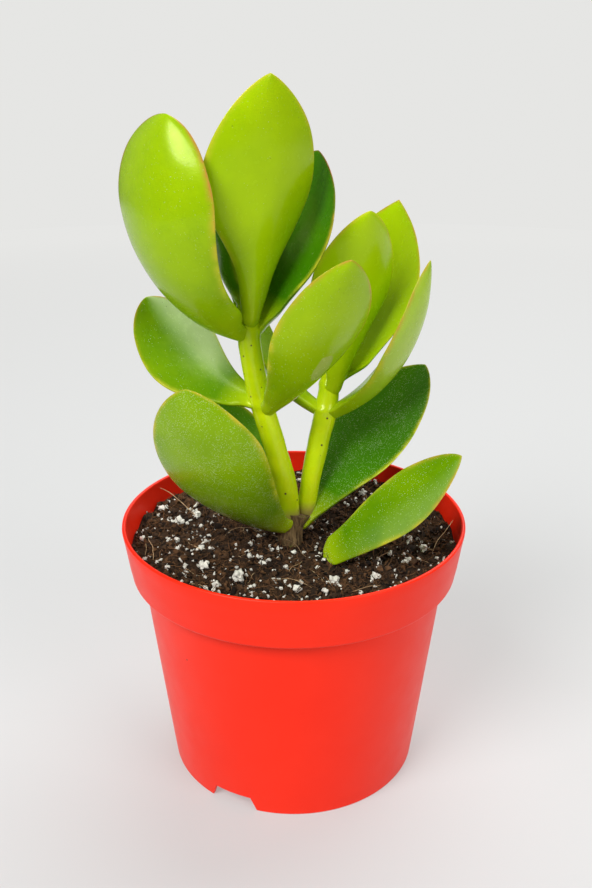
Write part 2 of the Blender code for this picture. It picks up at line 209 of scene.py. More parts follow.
MAIN = Stem(
    "main_stem",
    (
        (-0.0020, -0.0034, 0.0003),
        (-0.0025, -0.0037, 0.0100),
        (-0.0055, -0.0041, 0.0220),
        (-0.0090, -0.0048, 0.0350),
        (-0.0112, -0.0050, 0.0460),
        (-0.0125, -0.0050, 0.0590),
        (-0.0127, -0.0050, 0.0660),
    ),
    (0.0038, 0.0033, 0.0031, 0.0032, 0.0031, 0.0030, 0.0016),
    (0.0345, 0.0555, 0.0600),
)
SIDE = Stem(
    "side_stem",
    (
        (0.0036, -0.0006, 0.0003),
        (0.0052, 0.0022, 0.0100),
        (0.0075, 0.0052, 0.0200),
        (0.0095, 0.0080, 0.0290),
        (0.0105, 0.0100, 0.0370),
        (0.0109, 0.0108, 0.0430),
    ),
    (0.0027, 0.0029, 0.0031, 0.0032, 0.0026, 0.0013),
    (0.0285, 0.0355),
)
STEMS = (MAIN, SIDE)

# Darker leaves are partly painted shade where they sit in shadow, and the pale waxen film on one
# side of some leaves is partly a painted sheen.
LEAVES = (
    Leaf("top_leaf_left", "main_stem", 0.0550, 213, 26, 92, -20, 0.066, 0.032,
         thickness=0.0060, cup=0.25, widest=0.66, point=0.50, taper=0.90, neck=0.48,
         shade=0.38, redness=0.95, salt=0.04, bloom=0.05),
    Leaf("top_leaf_right", "main_stem", 0.0560, 28, 52, 32, -8, 0.049, 0.038,
         cup=0.30, neck=0.34, shade=1.00, redness=0.90, salt=0.02),
    Leaf("top_leaf_front", "main_stem", 0.0595, 300, 73, 13, 0, 0.062, 0.032,
         cup=0.20, point=0.80, taper=1.30, neck=0.24, shade=0.22, redness=0.20, salt=0.01),
    Leaf("top_leaf_back", "main_stem", 0.0595, 114, 66, 18, 0, 0.040, 0.022,
         thickness=0.0045, cup=0.15, shade=0.30, redness=0.30, salt=0.02),
    Leaf("bud_leaf_left", "main_stem", 0.0635, 203, 60, 25, 0, 0.024, 0.014,
         thickness=0.0022, cup=0.30, neck=0.70, shade=0.95, redness=0.10, salt=0.0),
    Leaf("bud_leaf_right", "main_stem", 0.0640, 30, 66, 15, 0, 0.020, 0.009,
         thickness=0.0020, cup=0.20, shade=0.90, redness=0.10, salt=0.0),
    Leaf("middle_leaf_left", "main_stem", 0.0350, 165, 12, 62, 22, 0.042, 0.028,
         cup=0.15, point=0.60, taper=0.90, neck=0.34, shade=0.60, redness=0.50, salt=0.10,
         bloom=0.85),
    Leaf("middle_leaf_right", "main_stem", 0.0340, 317, 42, 32, 20, 0.053, 0.026,
         taper=0.90, neck=0.34, shade=0.30, redness=0.70, salt=0.10),
    Leaf("low_leaf_left", "trunk", -0.0030, 222, 27, 60, -30, 0.061, 0.032,
         taper=0.80, point=0.70, neck=0.30, shade=0.62, redness=0.35, salt=1.00),
    Leaf("low_leaf_back", "trunk", -0.0010, 152, 48, 12, 0, 0.039, 0.026,
         shade=0.85, redness=0.30, salt=0.10),
    Leaf("low_leaf_right", "trunk", -0.0035, 33, 35, 15, 0, 0.060, 0.034,
         taper=0.90, neck=0.28, shade=1.05, redness=0.20, salt=0.75),
    Leaf("side_leaf_left", "side_stem", 0.0285, 168, 30, 55, 0, 0.040, 0.020,
         neck=0.30, shade=0.40, redness=0.20, salt=0.02),
    Leaf("side_leaf_right", "side_stem", 0.0280, 344, 31, 60, 0, 0.054, 0.026,
         cup=0.30, neck=0.34, shade=0.15, redness=0.70, salt=0.06, bloom=0.14),
    Leaf("side_leaf_front", "side_stem", 0.0355, 305, 70, 10, 0, 0.053, 0.028,
         cup=0.20, neck=0.26, shade=-0.25, redness=0.15, salt=0.0),
    Leaf("side_leaf_back", "side_stem", 0.0355, 47, 42, 38, 5, 0.057, 0.040,
         cup=0.30, widest=0.50, point=0.95, neck=0.54, shade=-0.10, redness=0.70, salt=0.03),
    Leaf("side_bud_left", "side_stem", 0.0400, 210, 66, 18, 0, 0.016, 0.008,
         thickness=0.0020, cup=0.20, shade=0.40, redness=0.10, salt=0.0),
    Leaf("side_bud_right", "side_stem", 0.0400, 10, 72, 10, 0, 0.015, 0.007,
         thickness=0.0020, cup=0.20, shade=0.40, redness=0.10, salt=0.0),
)
CUTTING = Leaf("cutting_leaf", "mix", 0.0, 345, 36, 15, -40, 0.051, 0.018, taper=0.90,
               neck=0.50, shade=0.62, redness=0.60, salt=0.30, bloom=0.12)

# Healed scars: share of the blade's length, distance to the right of its midrib, and size
SCARS = {
    "middle_leaf_right": (0.40, -0.0035, 0.0055),
    "low_leaf_left": (0.30, 0.0050, 0.0025),
}
NO_SCAR = (0.0, 0.0, TINY)
SCAR_NARROWNESS = 1.8        # how much longer than wide a scar is

# Cutting: where it is set in the mix
CUTTING_X = 0.0085
CUTTING_Y = -0.0140
CUTTING_LIFT = 0.0002
CUTTING_ROUNDING = 0.07

# Stage
FLOOR_RADIUS = 1.0
FADE_START = 0.20            # where the floor starts to fade to the backdrop's tone
FADE_END = 0.90
CAMERA_PLACE = Vector((0.0, -0.2656, 0.2066))
CAMERA_AIM = Vector((0.0, 0.0, 0.1003))
CAMERA_SENSOR = 36.0         # mm, along the view's long side
CAMERA_LENS = 40.54          # mm
CAMERA_SHIFT = 0.0026

# Lights: name, the setting that holds its power, place, and how wide it is
LIGHTS = (
    ("key_light", "key", (-0.60, -0.75, 1.00), 0.70),
    ("fill_light", "fill", (0.90, -0.85, 0.75), 0.80),
    ("top_light", "top", (0.25, 0.60, 1.00), 1.30),
)


# Settings that a user would change

def colour(name, description, default):
    """A colour that a user may change."""
    return FloatVectorProperty(
        name=name, description=description, default=default, size=3, subtype="COLOR",
        min=0.0, max=1.0,
    )


def length(name, description, default):
    """A length that a user may change."""
    return FloatProperty(name=name, description=description, default=default, unit="LENGTH")


class PotLook(bpy.types.PropertyGroup):
    """Sizes and finish of the nursery pot."""

    wall: length("Wall", "Thickness of the pot's wall", 0.0012)
    red: colour("Red", "Colour of the plastic", (0.97, 0.026, 0.006))
    red_deep: colour("Deep red", "Colour of the plastic where it is a little darker",
                     (0.90, 0.018, 0.003))
    speck: colour("Speck", "Colour of the few specks of dirt", (0.10, 0.03, 0.02))


class MixLook(bpy.types.PropertyGroup):
    """Make-up of the potting mix."""

    crumbs: IntProperty(name="Crumbs", description="How many crumbs lie on the mix",
                        default=5200)
    shreds: IntProperty(name="Shreds", description="How many short coir shreds lie on the mix",
                        default=3600)
    fibres: IntProperty(name="Fibres", description="How many long pale fibres lie loose",
                        default=46)
    grains: IntProperty(name="Grains", description="How many small perlite grains there are",
                        default=820)
    dark: colour("Dark", "Colour of wet peat", (0.008, 0.005, 0.003))
    brown: colour("Brown", "Colour of coir crumbs", (0.125, 0.060, 0.024))
    tan: colour("Tan", "Colour of the pale fibres", (0.60, 0.42, 0.22))
    white: colour("White", "Colour of perlite", (0.82, 0.80, 0.70))


class PlantLook(bpy.types.PropertyGroup):
    """Colours of the plant's skin."""

    bright: colour("Bright green", "Colour of a bright blade", (0.41, 0.61, 0.001))
    # The dark end is partly painted shade, for leaves that sit in shadow.
    dark: colour("Dark green", "Colour of a dark blade", (0.045, 0.18, 0.001))
    base: colour("Leaf base", "Colour of a blade's base", (0.40, 0.55, 0.004))
    rim_yellow: colour("Yellow margin", "Colour of a young margin", (0.62, 0.60, 0.03))
    rim_red: colour("Red margin", "Colour of a margin in strong light", (0.48, 0.10, 0.05))
    salt: colour("Salt", "Colour of the fine crystals", (0.80, 0.88, 0.62))
    # This pale colour is also laid as a painted sheen on one side of some leaves.
    bloom: colour("Bloom", "Colour of the pale wax", (0.55, 0.70, 0.34))
    scar: colour("Scar", "Colour of a healed scar", (0.44, 0.50, 0.14))
    stem: colour("Stem", "Colour of a green stem", (0.66, 0.78, 0.004))
    stem_deep: colour("Deep stem", "Colour of a stem where it is darker", (0.46, 0.64, 0.002))
    bark: colour("Bark", "Colour of the trunk", (0.28, 0.185, 0.080))
    bark_dark: colour("Dark bark", "Colour of the bark's furrows", (0.075, 0.046, 0.020))


class StageLook(bpy.types.PropertyGroup):
    """The plain floor and the studio light."""

    floor: colour("Floor", "Colour of the floor by the pot", (0.325, 0.33, 0.33))
    backdrop: colour("Backdrop", "Colour that the floor fades to", (0.79, 0.79, 0.775))
    glow: FloatProperty(name="Glow", description="How much of the backdrop's light the floor "
                        "has by the pot", default=0.40)
    daylight: FloatProperty(name="Daylight", description="Strength of the light that comes from "
                            "all round", default=0.12)
    key: FloatProperty(name="Key", description="Power of the main light", default=18.0,
                       unit="POWER")
    fill: FloatProperty(name="Fill", description="Power of the light on the other side",
                        default=8.0, unit="POWER")
    top: FloatProperty(name="Top", description="Power of the large light above and behind",
                       default=14.0, unit="POWER")


LOOKS = (
    ("jade_pot", PotLook),
    ("jade_mix", MixLook),
    ("jade_plant", PlantLook),
    ("jade_stage", StageLook),
)


# Meshes

def add_object(name, data):
    """Put a new object in the scene."""
    made = bpy.data.objects.new(name, data)
    bpy.context.scene.collection.objects.link(made)
    return made


def mesh_of(name, shape):
    """A mesh of a bmesh, which is freed."""
    mesh = bpy.data.meshes.new(name)
    shape.to_mesh(mesh)
    shape.free()
    return mesh


def evaluated_mesh(made):
    """A new mesh of what an object's modifiers or bevel make of it."""
    bpy.context.view_layer.update()
    graph = bpy.context.evaluated_depsgraph_get()
    return bpy.data.meshes.new_from_object(made.evaluated_get(graph))


def face_outwards(shape):
    """Turn a closed shape's faces to point out."""
    bmesh.ops.recalc_face_normals(shape, faces=shape.faces)
    if shape.calc_volume(signed=True) < 0:
        bmesh.ops.reverse_faces(shape, faces=shape.faces)


def finish_piece(name, shape, finish, nodes=(), sharp=None):
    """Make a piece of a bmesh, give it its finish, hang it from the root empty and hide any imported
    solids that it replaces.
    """
    mesh = mesh_of(name, shape)
    mesh.shade_smooth()
    if sharp is not None:
        mesh.set_sharp_from_angle(angle=math.radians(sharp))
    mesh.materials.append(finish)
    made = add_object(name, mesh)
    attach(made, "root")
    if nodes:
        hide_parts(*nodes)
    return made


def bake_modifiers(made):
    """Put what the modifiers do into the mesh itself."""
    mesh = evaluated_mesh(made)
    old = made.data
    made.modifiers.clear()
    made.data = mesh
    bpy.data.meshes.remove(old)


def point_values(made, name, values):
    """Store one number for each point of a mesh, for its material to read."""
    attribute = made.data.attributes.new(name, "FLOAT", "POINT")
    attribute.data.foreach_set("value", values)


def arc(centre_radius, centre_height, size, start, end, steps):
    """Outline points round an arc, from one angle to another in degrees."""
    points = []
    for step in range(steps + 1):
        turn = math.radians(start + (end - start) * step / steps)
        points.append((centre_radius + size * math.cos(turn), centre_height + size * math.sin(turn)))
    return points


def turned(outline, steps):
    """A surface of revolution about Z, closed at the axis, with its faces pointing out."""
    shape = bmesh.new()
    points = [shape.verts.new((radius, 0.0, height)) for radius, height in outline]
    edges = [shape.edges.new(pair) for pair in zip(points, points[1:])]
    bmesh.ops.spin(
        shape, geom=points + edges, cent=(0, 0, 0), axis=(0, 0, 1), dvec=(0, 0, 0),
        angle=FULL_TURN, steps=steps, use_merge=True, use_duplicate=False,
    )
    bmesh.ops.remove_doubles(shape, verts=shape.verts, dist=TINY)
    face_outwards(shape)
    return shape


def fractal(point, span, octaves=3):
    """Smooth noise from about -1 to 1, whose largest waves are span long."""
    value = 0.0
    weight = 1.0
    for octave in range(octaves):
        value += weight * noise.noise(point * (2 ** octave / span))
        weight *= 0.5
    return value


# Materials

class Painter:
    """Adds nodes to one tree, sets their values and links their sockets."""

    def __init__(self, tree):
        self.tree = tree

    def add(self, kind, inputs=None, **settings):
        """Add a node; settings are its own properties, and inputs its sockets' values or links."""
        made = self.tree.nodes.new(kind)
        for name, value in settings.items():
            setattr(made, name, value)
        for key, value in (inputs or {}).items():
            self.plug(made.inputs[key], value)
        return made

    def plug(self, socket, value):
        """Give a socket another socket's output, a colour of three parts, or a plain value."""
        if isinstance(value, bpy.types.NodeSocket):
            self.tree.links.new(value, socket)
        elif socket.type == "RGBA" and len(value) == 3:
            socket.default_value = (*value, 1.0)
        else:
            socket.default_value = value

    def attribute(self, name):
        return self.add("ShaderNodeAttribute", attribute_name=name).outputs["Fac"]

    def place(self):
        return self.add("ShaderNodeTexCoord").outputs["Object"]

    def maths(self, operation, first, second=0.0):
        made = self.add("ShaderNodeMath", {0: first, 1: second}, operation=operation)
        return made.outputs[0]

    def mix(self, factor, first, second, blend="MIX"):
        made = self.add("ShaderNodeMix", data_type="RGBA", blend_type=blend)
        for index, value in (0, factor), (6, first), (7, second):
            self.plug(made.inputs[index], value)
        return made.outputs[2]

    def ramp(self, value, low, high, start=0.0, end=1.0):
        """Turn a value that runs from low to high into one that runs from start to end."""
        made = self.add("ShaderNodeMapRange", {
            "Value": value, "From Min": low, "From Max": high, "To Min": start, "To Max": end,
        })
        return made.outputs["Result"]

    def noise(self, place, scale, detail=2.0, roughness=0.5):
        made = self.add("ShaderNodeTexNoise", {
            "Vector": place, "Scale": scale, "Detail": detail, "Roughness": roughness,
        })
        return made.outputs["Fac"]

    def use(self, tree, **inputs):
        """Place a node group and give its inputs, whose names are written with underscores."""
        made = self.add("ShaderNodeGroup", node_tree=tree)
        for name, value in inputs.items():
            self.plug(made.inputs[name.replace("_", " ")], value)
        return made.outputs[0]


def new_group(name, output, output_kind, inputs):
    """A node group with float or vector inputs and one output, and its painter."""
    tree = bpy.data.node_groups.new(name, "ShaderNodeTree")
    for title, kind, value in inputs:
        socket = tree.interface.new_socket(title, in_out="INPUT", socket_type=kind)
        if value is not None:
            socket.default_value = value
    tree.interface.new_socket(output, in_out="OUTPUT", socket_type=output_kind)
    painter = Painter(tree)
    entry = painter.add("NodeGroupInput")
    leave = painter.add("NodeGroupOutput")
    return tree, painter, entry.outputs, leave.inputs[0]


def speckle_group():
    """Small spots: one in some of the cells of a lattice, each of its own size."""
    tree, paint, given, out = new_group("Speckles", "Mask", "NodeSocketFloat", (
        ("Place", "NodeSocketVector", None),
        ("Density", "NodeSocketFloat", 1000.0),
        ("Share", "NodeSocketFloat", 0.5),
        ("Size", "NodeSocketFloat", 0.3),
    ))
    cells = paint.add("ShaderNodeTexVoronoi", {"Vector": given["Place"], "Scale": given["Density"]})
    chance = paint.add("ShaderNodeSeparateColor", {0: cells.outputs["Color"]})
    chosen = paint.maths("LESS_THAN", chance.outputs[0], given["Share"])
    size = paint.maths("MULTIPLY", given["Size"], paint.ramp(chance.outputs[1], 0, 1, 0.45, 1.0))
    near = paint.maths("DIVIDE", cells.outputs["Distance"], size)
    spot = paint.ramp(near, 1.0, 0.6)
    paint.plug(out, paint.maths("MULTIPLY", chosen, spot))
    return tree


def mottle_group():
    """Soft cloudy variation from 0 to 1."""
    tree, paint, given, out = new_group("Mottle", "Factor", "NodeSocketFloat", (
        ("Place", "NodeSocketVector", None),
        ("Scale", "NodeSocketFloat", 60.0),
        ("Contrast", "NodeSocketFloat", 1.0),
    ))
    cloud = paint.noise(given["Place"], given["Scale"], 4.0, 0.55)
    spread = paint.maths("MULTIPLY", paint.maths("SUBTRACT", cloud, 0.5), given["Contrast"])
    made = paint.add("ShaderNodeClamp", {0: paint.maths("ADD", spread, 0.5)})
    paint.plug(out, made.outputs[0])
    return tree


def grain_group():
    """Height of a skin that is broadly uneven and finely grained, in metres."""
    tree, paint, given, out = new_group("Skin grain", "Height", "NodeSocketFloat", (
        ("Place", "NodeSocketVector", None),
        ("Broad Scale", "NodeSocketFloat", 120.0),
        ("Broad Height", "NodeSocketFloat", 0.0001),
        ("Fine Scale", "NodeSocketFloat", 2200.0),
        ("Fine Height", "NodeSocketFloat", 0.00001),
    ))
    broad = paint.noise(given["Place"], given["Broad Scale"], 2.0, 0.45)
    fine = paint.noise(given["Place"], given["Fine Scale"], 2.0, 0.6)
    high = paint.maths("MULTIPLY", broad, given["Broad Height"])
    low = paint.maths("MULTIPLY", fine, given["Fine Height"])
    paint.plug(out, paint.maths("ADD", high, low))
    return tree


def effect(name):
    """A shared shader node group, built the first time that it is asked for."""
    makers = {"Speckles": speckle_group, "Mottle": mottle_group, "Skin grain": grain_group}
    return bpy.data.node_groups.get(name) or makers[name]()


def shared_finish(name, maker, look):
    """A finish that several pieces have, made the first time that it is asked for."""
    return bpy.data.materials.get(name) or maker(look)


def new_finish(name, **fixed):
    """A material with its painter and its shader, whose fixed sockets are set by name."""
    made = bpy.data.materials.new(name)
    made.use_nodes = True
    paint = Painter(made.node_tree)
    shader = made.node_tree.nodes["Principled BSDF"]
    for key, value in fixed.items():
        paint.plug(shader.inputs[key.replace("_", " ")], value)
    return made, paint, shader.inputs


def bump(paint, height, strength=1.0):
    """The normal of a skin that is raised by a height in metres."""
    made = paint.add("ShaderNodeBump", {"Height": height, "Strength": strength, "Distance": 1.0})
    return made.outputs[0]


def pot_finish(look):
    """Satin red plastic with a faint moulded grain, slight streaks and a few specks."""
    made, paint, shader = new_finish("red_pot_plastic", Specular_IOR_Level=0.28,
                                     Specular_Tint=(1.0, 0.7, 0.6))
    place = paint.place()
    cloud = paint.use(effect("Mottle"), Place=place, Scale=38.0, Contrast=1.4)
    tone = paint.mix(cloud, look.red, look.red_deep)
    specks = paint.use(effect("Speckles"), Place=place, Density=170.0, Share=0.012, Size=0.07)
    paint.plug(shader["Base Color"], paint.mix(specks, tone, look.speck))
    wear = paint.use(effect("Mottle"), Place=place, Scale=160.0, Contrast=1.6)
    paint.plug(shader["Roughness"], paint.ramp(wear, 0, 1, 0.34, 0.46))
    grain = paint.use(effect("Skin grain"), Place=place, Broad_Scale=55.0, Broad_Height=0.00012,
                      Fine_Scale=2600.0, Fine_Height=0.000012)
    paint.plug(shader["Normal"], bump(paint, grain, 0.6))
    return made


def earth_finish(name, low, high, roughness=0.95):
    """Matt crumbs between two colours; each crumb carries its own tint."""
    made, paint, shader = new_finish(name, Roughness=roughness, Specular_IOR_Level=0.25)
    place = paint.place()
    cloud = paint.use(effect("Mottle"), Place=place, Scale=900.0, Contrast=2.2)
    own = paint.attribute("tint")
    share = paint.maths("MULTIPLY", own, paint.ramp(cloud, 0, 1, 0.35, 1.4))
    paint.plug(shader["Base Color"], paint.mix(share, low, high))
    grain = paint.use(effect("Skin grain"), Place=place, Broad_Scale=900.0, Broad_Height=0.00035,
                      Fine_Scale=3500.0, Fine_Height=0.00012)
    paint.plug(shader["Normal"], bump(paint, grain, 1.0))
    return made


def perlite_finish(look):
    """Chalky white with fine pores and a little dirt."""
    made, paint, shader = new_finish("white_perlite", Roughness=0.85, Specular_IOR_Level=0.3)
    place = paint.place()
    dirt = paint.use(effect("Mottle"), Place=place, Scale=420.0, Contrast=2.4)
    grey = [0.62 * part for part in look.white]
    tone = paint.mix(dirt, look.white, grey)
    pores = paint.use(effect("Speckles"), Place=place, Density=2600.0, Share=0.5, Size=0.35)
    soiled = paint.mix(paint.maths("MULTIPLY", pores, 0.55), tone, look.brown)
    paint.plug(shader["Base Color"], soiled)
    paint.plug(shader["Normal"], bump(paint, paint.maths("MULTIPLY", pores, -0.0002), 0.8))
    return made


def leaf_green(paint, look, place, fleck):
    """The blade's cloudy green from bright to dark, with painted shade on shaded leaves and towards
    the base, and its yellower base.
    """
    along = paint.attribute("along")
    cloud = paint.use(effect("Mottle"), Place=place, Scale=75.0, Contrast=1.3)
    # A blade's darkness is partly its own tone and partly painted shade on leaves that sit in
    # shadow.
    depth = paint.maths("ADD", paint.attribute("shade"), paint.ramp(cloud, 0, 1, -0.16, 0.16))
    depth = paint.maths("ADD", depth, paint.ramp(paint.attribute("upper"), 0, 1, -0.06, 0.14))
    depth = paint.maths("ADD", depth, paint.ramp(fleck, 0, 1, -0.06, 0.06))
    # Painted shade: darker from the middle of the blade towards its base.
    depth = paint.maths("ADD", depth, paint.ramp(along, 0.60, 0.20, 0.0, 0.12))
    green = paint.mix(depth, look.bright, look.dark)
    return paint.mix(paint.ramp(along, 0.20, 0.0), green, look.base)


def leaf_margin(paint, look, place, body):
    """Lay the coloured margin on the blade, broken here and there."""
    margin = paint.mix(paint.attribute("redness"), look.rim_yellow, look.rim_red)
    broken = paint.ramp(paint.noise(place, 260.0, 3.0), 0.35, 0.62, 0.20, 0.90)
    return paint.mix(paint.maths("MULTIPLY", paint.attribute("rim"), broken), body, margin)


def leaf_scar(paint, look, fleck, body):
    """Lay the healed scar on the blade, with a ragged edge."""
    ragged = paint.maths("ADD", paint.attribute("scar"), paint.ramp(fleck, 0, 1, -0.25, 0.25))
    return paint.mix(paint.ramp(ragged, 0.42, 0.50, 0.0, 0.65), body, look.scar)


def leaf_finish(look):
    """Waxy jade skin: cloudy green with painted shade, a pale film that is partly a painted sheen, a
    coloured margin, freckles, pits and white crystals.
    """
    made, paint, shader = new_finish(
        "jade_leaf_skin", Specular_IOR_Level=0.42, Specular_Tint=(0.9, 1.0, 0.2),
        Coat_Weight=0.12, Coat_Roughness=0.08,
        Subsurface_Weight=0.08, Subsurface_Radius=(0.6, 1.0, 0.1), Subsurface_Scale=0.0015,
    )
    place = paint.place()
    fleck = paint.use(effect("Mottle"), Place=place, Scale=420.0, Contrast=1.0)
    # A pale waxen film on one side of some blades, partly a painted sheen.
    wax_and_sheen = paint.maths("MULTIPLY", paint.attribute("bloom"), paint.ramp(fleck, 0, 1, 0.75, 1.1))
    freckles = paint.use(effect("Speckles"), Place=place, Density=1300.0, Share=0.45, Size=0.22)
    pitted = paint.ramp(wax_and_sheen, 0, 0.6, 0.07, 0.5)
    pits = paint.use(effect("Speckles"), Place=place, Density=900.0, Share=pitted, Size=0.15)
    patch = paint.ramp(paint.noise(place, 160.0, 3.0, 0.6), 0.30, 0.70)
    thick = paint.maths("MULTIPLY", paint.attribute("salt"), patch)
    crystals = paint.use(effect("Speckles"), Place=place, Density=4200.0, Share=thick, Size=0.40)

    body = leaf_green(paint, look, place, fleck)
    # Lay the pale film, which is partly a painted sheen.
    body = paint.mix(wax_and_sheen, body, look.bloom)
    body = paint.mix(paint.maths("MULTIPLY", freckles, 0.12), body, look.salt)
    body = leaf_margin(paint, look, place, body)
    body = leaf_scar(paint, look, fleck, body)
    body = paint.mix(paint.maths("MULTIPLY", pits, 0.55), body, look.bark_dark)
    body = paint.mix(paint.maths("MULTIPLY", crystals, 0.70), body, look.salt)
    paint.plug(shader["Base Color"], body)
    gloss = paint.ramp(fleck, 0, 1, 0.20, 0.32)
    dusty = paint.maths("MULTIPLY", crystals, 0.25)
    paint.plug(shader["Roughness"], paint.maths("ADD", gloss, dusty))

    grain = paint.use(effect("Skin grain"), Place=place, Broad_Scale=170.0, Broad_Height=0.00022,
                      Fine_Scale=1700.0, Fine_Height=0.00003)
    raised = paint.maths("MULTIPLY", crystals, 0.00006)
    sunk = paint.maths("MULTIPLY", pits, -0.0001)
    height = paint.maths("ADD", grain, paint.maths("ADD", raised, sunk))
    paint.plug(shader["Normal"], bump(paint, height, 0.7))
    return made


def stem_finish(look):
    """Smooth yellow-green stem skin, darker at its knots, with a few black specks."""
    made, paint, shader = new_finish(
        "jade_stem_skin", Specular_IOR_Level=0.35, Specular_Tint=(0.9, 1.0, 0.5),
        Coat_Weight=0.25, Coat_Roughness=0.16, Subsurface_Weight=0.08,
        Subsurface_Radius=(0.6, 1.0, 0.1), Subsurface_Scale=0.0015,
    )
    place = paint.place()
    cloud = paint.use(effect("Mottle"), Place=place, Scale=130.0, Contrast=1.8)
    body = paint.mix(cloud, look.stem, look.stem_deep)
    knot = paint.attribute("knot")
    body = paint.mix(paint.maths("MULTIPLY", knot, 0.55), body, look.stem_deep)
    woody = paint.attribute("woody")
    body = paint.mix(woody, body, look.bark)
    specks = paint.use(effect("Speckles"), Place=place, Density=420.0, Share=0.45, Size=0.19)
    body = paint.mix(specks, body, look.bark_dark)
    paint.plug(shader["Base Color"], body)
    paint.plug(shader["Roughness"], paint.ramp(cloud, 0, 1, 0.22, 0.34))
    grain = paint.use(effect("Skin grain"), Place=place, Broad_Scale=260.0, Broad_Height=0.00016,
                      Fine_Scale=1500.0, Fine_Height=0.00003)
    paint.plug(shader["Normal"], bump(paint, grain, 0.8))
    return made


def bark_finish(look):
    """Thin brown bark, furrowed lengthwise."""
    made, paint, shader = new_finish("jade_bark", Specular_IOR_Level=0.3)
    place = paint.place()
    drawn = paint.add("ShaderNodeMapping", {"Vector": place, "Scale": (1.0, 1.0, 0.16)})
    furrow = paint.noise(drawn.outputs[0], 1300.0, 4.0, 0.65)
    body = paint.mix(paint.ramp(furrow, 0.35, 0.62), look.bark_dark, look.bark)
    green = paint.ramp(paint.use(effect("Mottle"), Place=place, Scale=150.0, Contrast=2.0),
                       0.70, 1.0, 0.0, 0.4)
    body = paint.mix(green, body, look.stem_deep)
    paint.plug(shader["Base Color"], body)
    paint.plug(shader["Roughness"], paint.ramp(furrow, 0, 1, 0.9, 0.65))
    paint.plug(shader["Normal"], bump(paint, paint.maths("MULTIPLY", furrow, 0.0012), 1.0))
    return made


# Pot

def foot_radius():
    """The foot's outer radius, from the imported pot."""
    points = [point.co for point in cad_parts["pot"].data.vertices]
    return max(math.hypot(co.x, co.y) for co in points if co.z < POT_LOW.z + 0.1 * MILLI)


def collar_foot():
    """Height of the collar's lower edge."""
    return RIM_HEIGHT - COLLAR_HEIGHT


def body_radius(height):
    """Outside of the pot's body, below the collar."""
    top = RIM_RADIUS - COLLAR_DRAFT - COLLAR_STEP
    return foot_radius() + (top - foot_radius()) * height / collar_foot()


def collar_radius(height):
    """Outside of the collar."""
    return RIM_RADIUS - COLLAR_DRAFT * (RIM_HEIGHT - height) / COLLAR_HEIGHT


def up_the_wall(radius_at, low, high, count):
    """Outline points evenly between two heights of a tapered wall."""
    heights = [low + (high - low) * step / (count + 1) for step in range(1, count + 1)]
    return [(radius_at(height), height) for height in heights]


def pot_outline(wall):
    """The pot's wall as one outline, from the axis under the floor, round the outside, and back."""
    floor_top = FLOOR_HEIGHT + FLOOR_THICKNESS
    shelf = collar_foot() + wall
    foot = foot_radius()
    body_top = body_radius(collar_foot())
    edge = RIM_RADIUS - COLLAR_DRAFT - COLLAR_EDGE
    lip = wall / 2
    outline = [
        (0.0, FLOOR_HEIGHT),
        (body_radius(FLOOR_HEIGHT) - wall, FLOOR_HEIGHT),
        (foot - wall, SOFT_EDGE),
        (foot - wall + SOFT_EDGE, 0.0),
        (foot - SOFT_EDGE, 0.0),
        (foot, SOFT_EDGE),
    ]
    outline += up_the_wall(body_radius, 0.0, collar_foot(), 8)
    outline += [(body_top, collar_foot() - SOFT_EDGE), (body_top + SOFT_EDGE, collar_foot())]
    outline += arc(edge, collar_foot() + COLLAR_EDGE, COLLAR_EDGE, -90, 0, 8)
    outline += up_the_wall(collar_radius, collar_foot() + COLLAR_EDGE, RIM_HEIGHT - lip, 3)
    outline += arc(RIM_RADIUS - lip, RIM_HEIGHT - lip, lip, 0, 180, 10)
    outline += [
        (collar_radius(shelf) - wall, shelf + SOFT_EDGE),
        (collar_radius(shelf) - wall - SOFT_EDGE, shelf),
        (body_radius(shelf) - wall, shelf),
        (body_radius(floor_top) - wall, floor_top),
        (0.0, floor_top),
    ]
    return outline


def cutter_object(name, shape):
    """A solid to cut out of the pot."""
    bmesh.ops.recalc_face_normals(shape, faces=shape.faces)
    return add_object(name, mesh_of(name, shape))


def notch_cutter(angle):
    """A wedge-sided block that opens one notch in the foot."""
    shape = bmesh.new()
    bmesh.ops.create_cube(shape, size=1.0)
    slant = (NOTCH_FOOT_WIDTH - NOTCH_TOP_WIDTH) / NOTCH_HEIGHT
    for corner in shape.verts:
        at_top = corner.co.z > 0
        corner.co.x = corner.co.x * NOTCH_REACH + foot_radius()
        corner.co.y *= NOTCH_TOP_WIDTH if at_top else NOTCH_FOOT_WIDTH + slant * OVERRUN
        corner.co.z = NOTCH_HEIGHT if at_top else -OVERRUN
    bmesh.ops.rotate(shape, verts=shape.verts, cent=(0, 0, 0),
                     matrix=Matrix.Rotation(math.radians(angle), 3, "Z"))
    return cutter_object("notch_cutter", shape)


def drain_cutter(index):
    """A short bar that opens one drain hole in the floor."""
    shape = bmesh.new()
    turn = FULL_TURN * (index + 0.5) / DRAIN_COUNT
    centre = Vector((DRAIN_CIRCLE * math.cos(turn), DRAIN_CIRCLE * math.sin(turn),
                     FLOOR_HEIGHT + FLOOR_THICKNESS / 2))
    bmesh.ops.create_cone(
        shape, cap_ends=True, segments=DRAIN_SIDES, radius1=DRAIN_RADIUS, radius2=DRAIN_RADIUS,
        depth=FLOOR_THICKNESS + 2 * OVERRUN, matrix=Matrix.Translation(centre),
    )
    return cutter_object("drain_cutter", shape)


